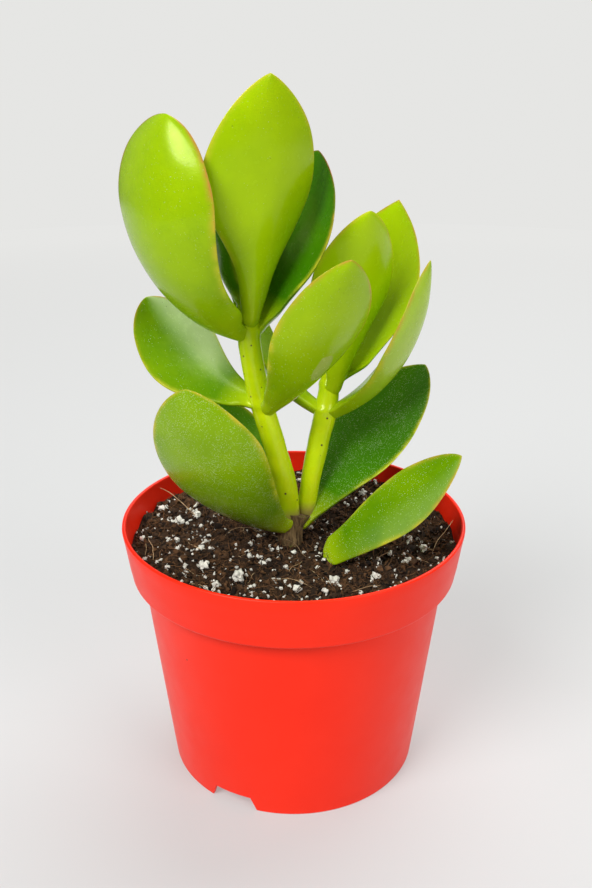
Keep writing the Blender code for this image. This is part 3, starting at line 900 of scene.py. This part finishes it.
def make_pot(look):
    """The pot, with its foot notches and drain holes cut."""
    pot = finish_piece("nursery_pot", turned(pot_outline(look.wall), POT_STEPS),
                       pot_finish(look), ["pot"])
    cutters = [notch_cutter(angle) for angle in NOTCH_ANGLES]
    cutters += [drain_cutter(index) for index in range(DRAIN_COUNT)]
    for cutter in cutters:
        boolean = pot.modifiers.new("cut", "BOOLEAN")
        boolean.operation = "DIFFERENCE"
        boolean.solver = "EXACT"
        boolean.object = cutter
    bake_modifiers(pot)
    for cutter in cutters:
        bpy.data.objects.remove(cutter)
    pot.data.shade_smooth()
    pot.data.set_sharp_from_angle(angle=math.radians(CREASE_ANGLE))


# Mix

def packed_mix_height(x, y):
    """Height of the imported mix's surface, with its low lumps."""
    large = math.sin(FULL_TURN * x / LUMP_SPAN_X + 1.3) * math.cos(FULL_TURN * y / LUMP_SPAN_Y - 0.4)
    small = math.sin(FULL_TURN * (x + y) / LUMP_SPAN_ACROSS)
    return MIX_LEVEL + LUMP_HEIGHT * (large + 0.6 * small)


def mix_height(x, y):
    """Height of the mix's surface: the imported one, with smaller clods on it."""
    return packed_mix_height(x, y) + CLOD_HEIGHT * fractal(Vector((x, y, 0.3)), CLOD_SPAN, 4)


def mix_edge():
    """Radius of the mix's surface, where it meets the pot's wall."""
    return collar_radius(MIX_LEVEL) - bpy.context.scene.jade_pot.wall


def mix_outline():
    """The plug of mix, from its bottom up the wall and in to the middle."""
    inside = bpy.context.scene.jade_pot.wall + MIX_CLEARANCE
    bottom = FLOOR_HEIGHT + FLOOR_THICKNESS + MIX_CLEARANCE
    shelf = collar_foot() + inside
    outline = [
        (0.0, bottom),
        (body_radius(bottom) - inside, bottom),
        (body_radius(shelf) - inside, shelf),
        (collar_radius(shelf) - inside, shelf),
    ]
    for ring in range(MIX_RINGS, -1, -1):
        outline.append(((mix_edge() - MIX_CLEARANCE) * ring / MIX_RINGS, MIX_LEVEL))
    return outline


def make_mix_body(look):
    """The plug of mix under the loose crumbs."""
    shape = turned(mix_outline(), MIX_STEPS)
    for point in shape.verts:
        if point.co.z > MIX_LEVEL - 0.01 * MILLI:
            point.co.z = mix_height(point.co.x, point.co.y) - MIX_SUNK
    tints = [0.5 + 0.5 * fractal(point.co, 0.004) for point in shape.verts]
    body = finish_piece("mix_body", shape, earth_finish("wet_peat", look.dark, look.brown),
                        ["potting_mix"])
    point_values(body, "tint", [max(0.0, min(1.0, 0.45 * tint)) for tint in tints])


def on_mix(draw, margin):
    """A point on the mix inside a margin from the wall, evenly spread over its area."""
    radius = (mix_edge() - margin) * math.sqrt(draw.random())
    turn = draw.uniform(0, FULL_TURN)
    x = radius * math.cos(turn)
    y = radius * math.sin(turn)
    return Vector((x, y, mix_height(x, y)))


def random_turn(draw):
    """A turn to any side, as a matrix."""
    turn = Matrix.Rotation(draw.uniform(0, FULL_TURN), 4, "Z")
    turn @= Matrix.Rotation(draw.uniform(0, FULL_TURN), 4, "X")
    return turn @ Matrix.Rotation(draw.uniform(0, FULL_TURN), 4, "Y")


def bedded(draw, size, margin, low, high):
    """Where a lump of a size lies on the mix; margin, low and high are shares of its size.

    It keeps the margin from the wall, and its centre is from low to high above the surface.
    """
    centre = on_mix(draw, margin * size) + Vector((0, 0, draw.uniform(low, high) * size))
    return Matrix.Translation(centre) @ random_turn(draw) @ Matrix.Scale(size, 4)


def crumb_models(draw, count, levels, roughness):
    """A few lumpy crumbs of unit size, which are repeated with other turns and sizes."""
    models = []
    for index in range(count):
        shape = bmesh.new()
        bmesh.ops.create_icosphere(shape, subdivisions=levels, radius=0.5)
        shift = Vector((7.3 * index, 1.7 * index, 3.1))
        for point in shape.verts:
            point.co *= 1 + roughness * noise.noise(2.6 * point.co + shift)
        bmesh.ops.scale(shape, verts=shape.verts,
                        vec=(1.0, draw.uniform(0.6, 0.95), draw.uniform(0.5, 0.85)))
        models.append(mesh_of("crumb_model", shape))
    return models


def scatter(models, places):
    """One bmesh with a model at each place, and each point's tint. A place is (matrix, tint)."""
    shape = bmesh.new()
    tints = []
    for index, (matrix, tint) in enumerate(places):
        model = models[index % len(models)]
        mesh = model.copy()
        mesh.transform(matrix)
        shape.from_mesh(mesh)
        tints += [tint] * len(mesh.vertices)
        bpy.data.meshes.remove(mesh)
    return shape, tints


def make_crumbs(look):
    """The loose crumbs of peat and coir that cover the plug of mix."""
    draw = random.Random(11)
    models = crumb_models(draw, 9, 1, 0.75)
    places = []
    for index in range(look.crumbs):
        size = draw.triangular(0.5, 2.6, 0.8) * MILLI
        places.append((bedded(draw, size, 0.5, -0.3, 0.25), draw.random() ** 1.5))
    shape, tints = scatter(models, places)
    crumbs = finish_piece("mix_crumbs", shape, earth_finish("crumbled_peat", look.dark, look.brown),
                          sharp=50)
    point_values(crumbs, "tint", tints)


def make_small_grains(look):
    """The perlite dust and small grains that lie between the large ones."""
    draw = random.Random(23)
    models = crumb_models(draw, 12, 2, 1.0)
    places = []
    for index in range(look.grains):
        size = draw.triangular(0.25, 1.9, 0.4) * MILLI
        places.append((bedded(draw, size, 0.7, 0.0, 0.45), 1.0))
    shape = scatter(models, places)[0]
    finish_piece("perlite_crumbs", shape, shared_finish("white_perlite", perlite_finish, look),
                 sharp=60)


def make_large_grains(look):
    """The large perlite grains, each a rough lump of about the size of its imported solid."""
    shape = bmesh.new()
    for index, node in enumerate(GRAIN_NODES):
        low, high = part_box(node)
        made = bmesh.ops.create_icosphere(shape, subdivisions=4, radius=0.5)
        shift = Vector((5.1 * index, 2.3, 1.9 * index))
        for point in made["verts"]:
            lumps = 0.75 * noise.noise(2.7 * point.co + shift)
            point.co *= 0.84 + lumps + 0.16 * noise.noise(9.0 * point.co + shift)
            point.co = Vector(a * b for a, b in zip(point.co, high - low))
            point.co += (low + high) / 2
    finish_piece("perlite_grains", shape, shared_finish("white_perlite", perlite_finish, look),
                 GRAIN_NODES)


def thread(points, radius, splines):
    """Add one thread through the points to a curve."""
    spline = splines.new("POLY")
    spline.points.add(len(points) - 1)
    for index, (target, co) in enumerate(zip(spline.points, points)):
        target.co = (*co, 1.0)
        at_end = index in (0, len(points) - 1)
        target.radius = radius * (THREAD_TIP if at_end else 1.0)


def threads_piece(name, lines, finish, sides):
    """Loose threads as one closed mesh; a line is (points, radius, tint)."""
    curve = bpy.data.curves.new(name, "CURVE")
    curve.dimensions = "3D"
    curve.bevel_depth = 1.0
    curve.bevel_resolution = sides
    curve.use_fill_caps = True
    for points, radius, tint in lines:
        thread(points, radius, curve.splines)
    holder = add_object(name, curve)
    mesh = evaluated_mesh(holder)
    bpy.data.objects.remove(holder)
    shape = bmesh.new()
    shape.from_mesh(mesh)
    bpy.data.meshes.remove(mesh)
    made = finish_piece(name, shape, finish)
    total = len(made.data.vertices)
    each = total / sum(len(points) for points, radius, tint in lines)
    reached = 0.0
    tints = []
    for points, radius, tint in lines:
        reached += each * len(points)
        tints += [tint] * (int(reached) - len(tints))
    tints += [lines[-1][2]] * (total - len(tints))
    point_values(made, "tint", tints)


def wander(draw, start, heading, climb, length, steps, curl, sag=0.12):
    """Points of a thread that wanders from a start and stays above the mix."""
    points = [start]
    stride = length / steps
    for step in range(steps):
        heading += draw.uniform(-curl, curl)
        climb += draw.uniform(-curl, curl) * 0.6 - sag
        here = points[-1] + stride * Vector((
            math.cos(heading) * math.cos(climb),
            math.sin(heading) * math.cos(climb),
            math.sin(climb),
        ))
        if math.hypot(here.x, here.y) > mix_edge() - THREAD_CLEARANCE:
            break
        here.z = max(here.z, mix_height(here.x, here.y) + 0.1 * MILLI)
        points.append(here)
    return points


def make_shreds(look):
    """Short brown coir shreds that make the mix's surface woolly."""
    draw = random.Random(31)
    lines = []
    while len(lines) < look.shreds:
        start = on_mix(draw, 1.0 * MILLI)
        points = wander(draw, start, draw.uniform(0, FULL_TURN), draw.uniform(-0.1, 0.9),
                        draw.uniform(1.5, 4.5) * MILLI, 4, 0.7)
        if len(points) > 3:
            lines.append((points, draw.uniform(0.05, 0.13) * MILLI, draw.random()))
    threads_piece("coir_shreds", lines,
                  earth_finish("coir", look.dark, [1.5 * part for part in look.brown]), 0)


def make_fibres(look):
    """Long pale fibres that lie loose on the mix and against the pot's wall."""
    draw = random.Random(47)
    lines = []
    for x, y, heading, climb, reach in STANDING_FIBRES:
        start = Vector((x, y, mix_height(x, y) + 0.3 * MILLI))
        points = wander(draw, start, math.radians(heading), math.radians(climb), reach, 14,
                        curl=0.12, sag=0.02)
        lines.append((points, 0.10 * MILLI, 1.0))
    while len(lines) < look.fibres:
        start = on_mix(draw, 3.0 * MILLI)
        points = wander(draw, start, draw.uniform(0, FULL_TURN), draw.uniform(0.0, 0.7),
                        draw.uniform(6, 19) * MILLI, 12, 0.22)
        if len(points) > 6:
            lines.append((points, draw.uniform(0.05, 0.10) * MILLI, draw.uniform(0.4, 1.0)))
    threads_piece("loose_fibres", lines, earth_finish("pale_fibre", look.brown, look.tan, 0.7), 1)


# Trunk and stems

def smooth_line(points, stations):
    """Points along the Catmull-Rom curve through the given points."""
    ends = [2 * points[0] - points[1]] + list(points) + [2 * points[-1] - points[-2]]
    spans = len(points) - 1
    line = []
    for station in range(stations + 1):
        where = station * spans / stations
        span = min(int(where), spans - 1)
        t = where - span
        before, start, end, after = ends[span:span + 4]
        line.append(0.5 * (
            2 * start
            + (end - before) * t
            + (2 * before - 5 * start + 4 * end - after) * t ** 2
            + (3 * start - before - 3 * end + after) * t ** 3
        ))
    return line


def stem_stations(stem):
    """The stem's centre line as vectors of x, y, z and radius."""
    marks = [
        Vector((x, y, CROWN_HEIGHT + rise, radius))
        for (x, y, rise), radius in zip(stem.line, stem.radii)
    ]
    return smooth_line(marks, STEM_STATIONS)


def trunk_stations():
    """The woody trunk: set in the mix, and widening at its crown where the stems stand."""
    marks = [
        Vector((TRUNK_X, TRUNK_Y, MIX_LEVEL - 0.0195, 0.5 * TRUNK_RADIUS)),
        Vector((TRUNK_X, TRUNK_Y, MIX_LEVEL - 0.0100, 0.8 * TRUNK_RADIUS)),
        Vector((TRUNK_X, TRUNK_Y, MIX_LEVEL, TRUNK_RADIUS)),
        Vector((TRUNK_X + 0.0002, TRUNK_Y + 0.0002, MIX_LEVEL + 0.0045, TRUNK_RADIUS)),
        Vector((TRUNK_X + 0.0012, TRUNK_Y + 0.0010, CROWN_HEIGHT, CROWN_RADIUS)),
    ]
    return smooth_line(marks, STEM_STATIONS)


def bar_shape(stations, swell):
    """A round bar along stations; swell gives each point's radius share from its place."""
    shape = bmesh.new()
    rings = []
    last = len(stations) - 1
    for index, station in enumerate(stations):
        ahead = stations[min(index + 1, last)].xyz
        behind = stations[max(index - 1, 0)].xyz
        along = (ahead - behind).normalized()
        place = Matrix.Translation(station.xyz) @ along.to_track_quat("Z", "Y").to_matrix().to_4x4()
        ring = bmesh.ops.create_circle(
            shape, segments=STEM_SIDES, radius=station.w, matrix=place,
            cap_ends=index in (0, last),
        )
        for point in ring["verts"]:
            out = point.co - station.xyz
            point.co = station.xyz + out * swell(point.co)
        rings.append(list({edge for point in ring["verts"] for edge in point.link_edges}))
    for lower, upper in zip(rings, rings[1:]):
        bmesh.ops.bridge_loops(shape, edges=lower + upper)
    face_outwards(shape)
    return shape


def knot_share(stem, height):
    """How near a height is to one of the stem's knots, from 0 to 1."""
    return max(
        math.exp(-((height - CROWN_HEIGHT - knot) / KNOT_SPREAD) ** 2) for knot in stem.knots
    )


def stem_swell(stem, point):
    """A stem's radius share at a point: uneven, and larger at its knots."""
    lumps = STEM_UNEVENNESS * fractal(point, 0.006)
    return 1 + lumps + KNOT_SWELL * knot_share(stem, point.z)


def bark_swell(point):
    """The trunk's radius share at a point: uneven, and ridged lengthwise."""
    ridges = 0.05 * noise.noise(Vector((900 * point.x, 900 * point.y, 90 * point.z)))
    return 1 + ridges + 0.06 * fractal(point, 0.005)


def woody_share(height):
    """How far a stem's skin is still bark at a height, from 0 to 1."""
    return max(0.0, min(1.0, 0.9 - (height - CROWN_HEIGHT) / WOODY_FADE))


def make_stems(look):
    """Both green stems, which run on down into the trunk's crown."""
    finish = stem_finish(look)
    for stem in STEMS:
        stations = stem_stations(stem)
        start = stations[0].copy()
        start.z -= STEM_ROOT
        shape = bar_shape([start] + stations, partial(stem_swell, stem))
        knots = [knot_share(stem, point.co.z) for point in shape.verts]
        woody = [woody_share(point.co.z) for point in shape.verts]
        made = finish_piece(stem.name + "_skin", shape, finish, [stem.name])
        point_values(made, "knot", knots)
        point_values(made, "woody", woody)


def make_trunk(look):
    """The woody trunk, from inside the mix up to its crown."""
    finish_piece("trunk_bark", bar_shape(trunk_stations(), bark_swell), bark_finish(look),
                 ["trunk"])


# Leaves

def axis_at(stations, height):
    """Centre and radius of a stem at a height."""
    for lower, upper in zip(stations, stations[1:]):
        if lower.z <= height <= upper.z:
            return lower.lerp(upper, (height - lower.z) / (upper.z - lower.z))
    return stations[-1] if height > stations[-1].z else stations[0]


def blade_half_width(leaf, along):
    """Half of the blade's width at a share of its length."""
    along = max(along, 0.0)
    if along <= leaf.widest:
        swell = math.sin(math.pi / 2 * (along / leaf.widest) ** leaf.taper) ** 2
        share = leaf.neck + (1 - leaf.neck) * swell
    else:
        past = (along - leaf.widest) / (1 - leaf.widest)
        share = max(1 - past * past, 0.0) ** leaf.point
    return leaf.width / 2 * share


def blade_half_thickness(leaf, along):
    """Half of the blade's thickness at a share of its length."""
    along = max(along, 0.0)
    thinning = min(1.0, TIP_FULLNESS * math.sqrt(max(1 - along, 0.0)))
    belly = BASE_FULLNESS + (1 - BASE_FULLNESS) * math.sin(math.pi * min(1.2 * along, 1.0))
    return leaf.thickness / 2 * thinning * belly


def root_point(rise, depth):
    """The midrib behind the leaf's foot, where it turns level to run on into the stem."""
    x = 0.0
    z = 0.0
    slope = rise
    for step in range(ROOT_STEPS):
        slope = rise * (1 - depth / LEAF_ROOT * (step + 0.5) / ROOT_STEPS)
        x -= math.cos(slope) * depth / ROOT_STEPS
        z -= math.sin(slope) * depth / ROOT_STEPS
    return x, z, slope


def midrib_point(leaf, along):
    """Centre of the blade in its own upright plane, and how steep the midrib is there."""
    rise = math.radians(leaf.rise)
    bend = math.radians(leaf.bend)
    if along <= 0:
        return root_point(rise, -along * leaf.length)
    stride = leaf.length * along / MIDRIB_STEPS
    x = 0.0
    z = 0.0
    for step in range(MIDRIB_STEPS):
        slope = rise + bend * along * (step + 0.5) / MIDRIB_STEPS
        x += math.cos(slope) * stride
        z += math.sin(slope) * stride
    return x, z, rise + bend * along


def smooth_step(value, low, high):
    """0 below low, 1 above high, and a smooth rise between."""
    share = max(0.0, min(1.0, (value - low) / (high - low)))
    return share * share * (3 - 2 * share)


def check_leaf(made, name):
    """Stop if a leaf isn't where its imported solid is."""
    bpy.context.view_layer.update()
    low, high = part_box(name)
    corners = [made.matrix_world @ Vector(corner) for corner in made.bound_box]
    for axis in range(3):
        off = max(abs(min(corner[axis] for corner in corners) - low[axis]),
                  abs(max(corner[axis] for corner in corners) - high[axis]))
        if off > LEAF_TOLERANCE:
            raise RuntimeError(f"{name} is {off / MILLI:.1f} mm off along axis {axis}")


def place_on_blade(leaf, point, root, foot_width, rounding_share):
    """Where on a blade a point of the unit sphere comes to lie, and the blade's size there."""
    back = root / leaf.length
    share = (1 - max(-1.0, min(1.0, point.z))) / 2
    along = share * (1 + back) - back
    spread = math.hypot(point.x, point.y)
    at_pole = spread < TINY
    across = 0.0 if at_pole else point.x / spread
    facing = 0.0 if at_pole else point.y / spread
    rounding = 0.0 if at_pole else min(1.0, math.sqrt(share / rounding_share))
    full_width = blade_half_width(leaf, along)
    pinch = 1 - smooth_step(along, 0.0, PINCH_SHARE)
    half_width = rounding * (full_width + pinch * (min(full_width, foot_width) - full_width))
    half_thickness = min(rounding * blade_half_thickness(leaf, along), half_width)
    return Spot(along, across, facing, half_width, half_thickness)


def offsets_on_blade(leaf, spot):
    """How far a spot lies to the side of the midrib, and above it."""
    own = sum(map(ord, leaf.name)) % 97
    wave = math.sin(9 * spot.along + own + (0 if spot.across > 0 else 2.1))
    side = spot.across * spot.half_width * (1 + MARGIN_WAVE * wave)
    fullness = math.copysign(abs(spot.facing) ** EDGE_SHARPNESS, spot.facing)
    lift = leaf.cup * spot.half_width * spot.across ** 2
    lift += fullness * spot.half_thickness * (1 - EDGE_THINNING * spot.across ** 2)
    lift += SKIN_WAVE * smooth_step(spot.along, 0.1, 0.4) * noise.noise(
        Vector((SKIN_WAVE_SCALE * side, SKIN_WAVE_SCALE * spot.along * leaf.length, own)))
    return side, lift


def stand_on_midrib(leaf, along, side, lift):
    """The place of a spot, for a leaf whose foot is at the origin and heading is 0."""
    x, z, slope = midrib_point(leaf, along)
    roll = math.radians(leaf.roll)
    turned_side = side * math.cos(roll) - lift * math.sin(roll)
    turned_lift = side * math.sin(roll) + lift * math.cos(roll)
    return Vector((
        x - turned_lift * math.sin(slope),
        -turned_side,
        z + turned_lift * math.cos(slope),
    ))


def skin_values(leaf, spot, side):
    """What the leaf's finish reads at a spot."""
    inset = (1 - abs(spot.across)) * spot.half_width
    scar_along, scar_side, scar_size = SCARS.get(leaf.name, NO_SCAR)
    off_along = (spot.along - scar_along) * leaf.length
    off_side = SCAR_NARROWNESS * (side - scar_side)
    # The pale waxen film lies on one side of the blade and is partly a painted sheen.
    wax_and_sheen_side = smooth_step(math.copysign(1, leaf.bloom) * spot.across, -0.2, 0.8)
    return {
        "along": spot.along,
        "rim": math.exp(-(inset / RIM_WIDTH) ** 2) * smooth_step(spot.along, 0.12, 0.35),
        "upper": 0.5 + 0.5 * spot.facing,
        "redness": leaf.redness * smooth_step(spot.along, 0.3, 0.9),
        "bloom": abs(leaf.bloom) * wax_and_sheen_side * smooth_step(spot.along, 0.1, 0.5),
        "scar": math.exp(-(math.hypot(off_along, off_side) / scar_size) ** 2),
        "shade": leaf.shade,
        "salt": leaf.salt,
    }


def make_leaf(leaf, foot, finish, root, foot_width, rounding_share=BASE_ROUNDING):
    """A plump blade from a sphere, whose poles become the root and the tip."""
    shape = bmesh.new()
    bmesh.ops.create_uvsphere(shape, u_segments=LEAF_AROUND, v_segments=LEAF_ALONG, radius=1.0)
    heading = Matrix.Rotation(math.radians(leaf.heading), 3, "Z")
    values = []
    for point in shape.verts:
        spot = place_on_blade(leaf, point.co, root, foot_width, rounding_share)
        side, lift = offsets_on_blade(leaf, spot)
        point.co = heading @ stand_on_midrib(leaf, spot.along, side, lift) + foot
        values.append(skin_values(leaf, spot, side))
    face_outwards(shape)
    made = finish_piece(leaf.name + "_blade", shape, finish, [leaf.name])
    for name in values[0]:
        point_values(made, name, [value[name] for value in values])
    rounder = made.modifiers.new("round", "SUBSURF")
    rounder.levels = 1
    rounder.render_levels = 1
    check_leaf(made, leaf.name)


def make_leaves(look):
    """Every leaf that grows on a stem or the trunk."""
    skin = shared_finish("jade_leaf_skin", leaf_finish, look)
    lines = {stem.name: stem_stations(stem) for stem in STEMS}
    lines["trunk"] = trunk_stations()
    for leaf in LEAVES:
        axis = axis_at(lines[leaf.stem], CROWN_HEIGHT + leaf.height)
        heading = math.radians(leaf.heading)
        outward = Vector((math.cos(heading), math.sin(heading), 0.0))
        make_leaf(leaf, axis.xyz + outward * axis.w, skin, LEAF_ROOT, axis.w)


def make_cutting(look):
    """The leaf that is set in the mix by itself, and has no root in a stem."""
    skin = shared_finish("jade_leaf_skin", leaf_finish, look)
    level = packed_mix_height(CUTTING_X, CUTTING_Y) + CUTTING_LIFT
    make_leaf(CUTTING, Vector((CUTTING_X, CUTTING_Y, level)), skin, 0.0, CUTTING.width,
              CUTTING_ROUNDING)


# Stage

def make_floor(look):
    """A round pale floor, which fades to an even backdrop."""
    shape = bmesh.new()
    bmesh.ops.create_circle(shape, cap_ends=True, segments=96, radius=FLOOR_RADIUS)
    floor = add_object("floor", mesh_of("floor", shape))
    made, paint, shader = new_finish("pale_floor", Roughness=0.8, Specular_IOR_Level=0.1,
                                     Emission_Strength=1.0)
    place = paint.place()
    away = paint.add("ShaderNodeVectorMath", {0: place}, operation="LENGTH").outputs["Value"]
    fade = paint.ramp(away, FADE_START, FADE_END)
    black = (0.0, 0.0, 0.0)
    paint.plug(shader["Base Color"], paint.mix(fade, look.floor, black))
    near = [look.glow * part for part in look.backdrop]
    paint.plug(shader["Emission Color"], paint.mix(fade, near, look.backdrop))
    floor.data.materials.append(made)


def aim(made, place):
    """Put a light or the camera at a place and point it at the plant."""
    made.location = place
    made.rotation_euler = (CAMERA_AIM - made.location).to_track_quat("-Z", "Y").to_euler()


def make_lights(look):
    """The three large soft lights."""
    for name, setting, place, size in LIGHTS:
        light = bpy.data.lights.new(name, "AREA")
        light.energy = getattr(look, setting)
        light.shape = "DISK"
        light.size = size
        lamp = add_object(name, light)
        aim(lamp, place)
        lamp.visible_camera = False


def make_sky(look):
    """The backdrop's tone where it is seen, and a dim even light otherwise."""
    world = bpy.data.worlds.new("sky")
    world.use_nodes = True
    paint = Painter(world.node_tree)
    seen = paint.add("ShaderNodeLightPath").outputs["Is Camera Ray"]
    sky = world.node_tree.nodes["Background"]
    dim = [look.daylight * part for part in look.backdrop]
    paint.plug(sky.inputs["Color"], paint.mix(seen, dim, look.backdrop))
    bpy.context.scene.world = world
    bpy.context.scene.view_settings.view_transform = "Standard"


def make_camera():
    """The camera, which looks at the plant from its front and a little above."""
    lens = bpy.data.cameras.new("camera")
    lens.sensor_fit = "AUTO"
    lens.sensor_width = CAMERA_SENSOR
    lens.lens = CAMERA_LENS
    lens.shift_x = CAMERA_SHIFT
    lens.clip_start = 0.01
    camera = add_object("camera", lens)
    aim(camera, CAMERA_PLACE)
    bpy.context.scene.camera = camera


# Operators

class JADE_OT_stage(bpy.types.Operator):
    """Set up the camera, the pale floor and the soft studio light"""

    bl_idname = "jade.stage"
    bl_label = "Stage"

    def execute(self, context):
        make_camera()
        make_floor(context.scene.jade_stage)
        make_lights(context.scene.jade_stage)
        make_sky(context.scene.jade_stage)
        return {"FINISHED"}


class JADE_OT_pot(bpy.types.Operator):
    """Turn the red nursery pot and cut its foot notches and drain holes"""

    bl_idname = "jade.pot"
    bl_label = "Pot"

    def execute(self, context):
        make_pot(context.scene.jade_pot)
        return {"FINISHED"}


class JADE_OT_mix(bpy.types.Operator):
    """Fill the pot with mix and cover it with crumbs, shreds and fibres"""

    bl_idname = "jade.mix"
    bl_label = "Potting Mix"

    def execute(self, context):
        look = context.scene.jade_mix
        make_mix_body(look)
        make_crumbs(look)
        make_shreds(look)
        make_fibres(look)
        return {"FINISHED"}


class JADE_OT_perlite(bpy.types.Operator):
    """Press large and small perlite grains into the mix"""

    bl_idname = "jade.perlite"
    bl_label = "Perlite"

    def execute(self, context):
        look = context.scene.jade_mix
        make_small_grains(look)
        make_large_grains(look)
        return {"FINISHED"}


class JADE_OT_stems(bpy.types.Operator):
    """Grow the woody trunk and the two green stems"""

    bl_idname = "jade.stems"
    bl_label = "Trunk and Stems"

    def execute(self, context):
        make_trunk(context.scene.jade_plant)
        make_stems(context.scene.jade_plant)
        return {"FINISHED"}


class JADE_OT_leaves(bpy.types.Operator):
    """Set every leaf on its stem"""

    bl_idname = "jade.leaves"
    bl_label = "Leaves"

    def execute(self, context):
        make_leaves(context.scene.jade_plant)
        return {"FINISHED"}


class JADE_OT_cutting(bpy.types.Operator):
    """Set the leaf cutting in the mix"""

    bl_idname = "jade.cutting"
    bl_label = "Leaf Cutting"

    def execute(self, context):
        make_cutting(context.scene.jade_plant)
        return {"FINISHED"}


STEPS = (
    JADE_OT_stage, JADE_OT_pot, JADE_OT_mix, JADE_OT_perlite, JADE_OT_stems, JADE_OT_leaves,
    JADE_OT_cutting,
)


class JADE_PT_panel(bpy.types.Panel):
    """Lists the settings and the steps"""

    bl_idname = "JADE_PT_panel"
    bl_label = "Jade Plant"
    bl_space_type = "VIEW_3D"
    bl_region_type = "UI"
    bl_category = "Jade Plant"

    def draw(self, context):
        for name, look in LOOKS:
            box = self.layout.box()
            for key in look.__annotations__:
                box.prop(getattr(context.scene, name), key)
        for step in STEPS:
            self.layout.operator(step.bl_idname)


CLASSES = tuple(look for name, look in LOOKS) + STEPS + (JADE_PT_panel,)


def register():
    """Add the settings, the steps and the panel to Blender."""
    for item in CLASSES:
        bpy.utils.register_class(item)
    for name, look in LOOKS:
        setattr(bpy.types.Scene, name, PointerProperty(type=look))


def unregister():
    """Take them all away again."""
    for name, look in LOOKS:
        delattr(bpy.types.Scene, name)
    for item in reversed(CLASSES):
        bpy.utils.unregister_class(item)


def main():
    """Build every piece in order."""
    register()
    for step in STEPS:
        group, name = step.bl_idname.split(".")
        getattr(getattr(bpy.ops, group), name)()


if __name__ == "__main__":
    main()
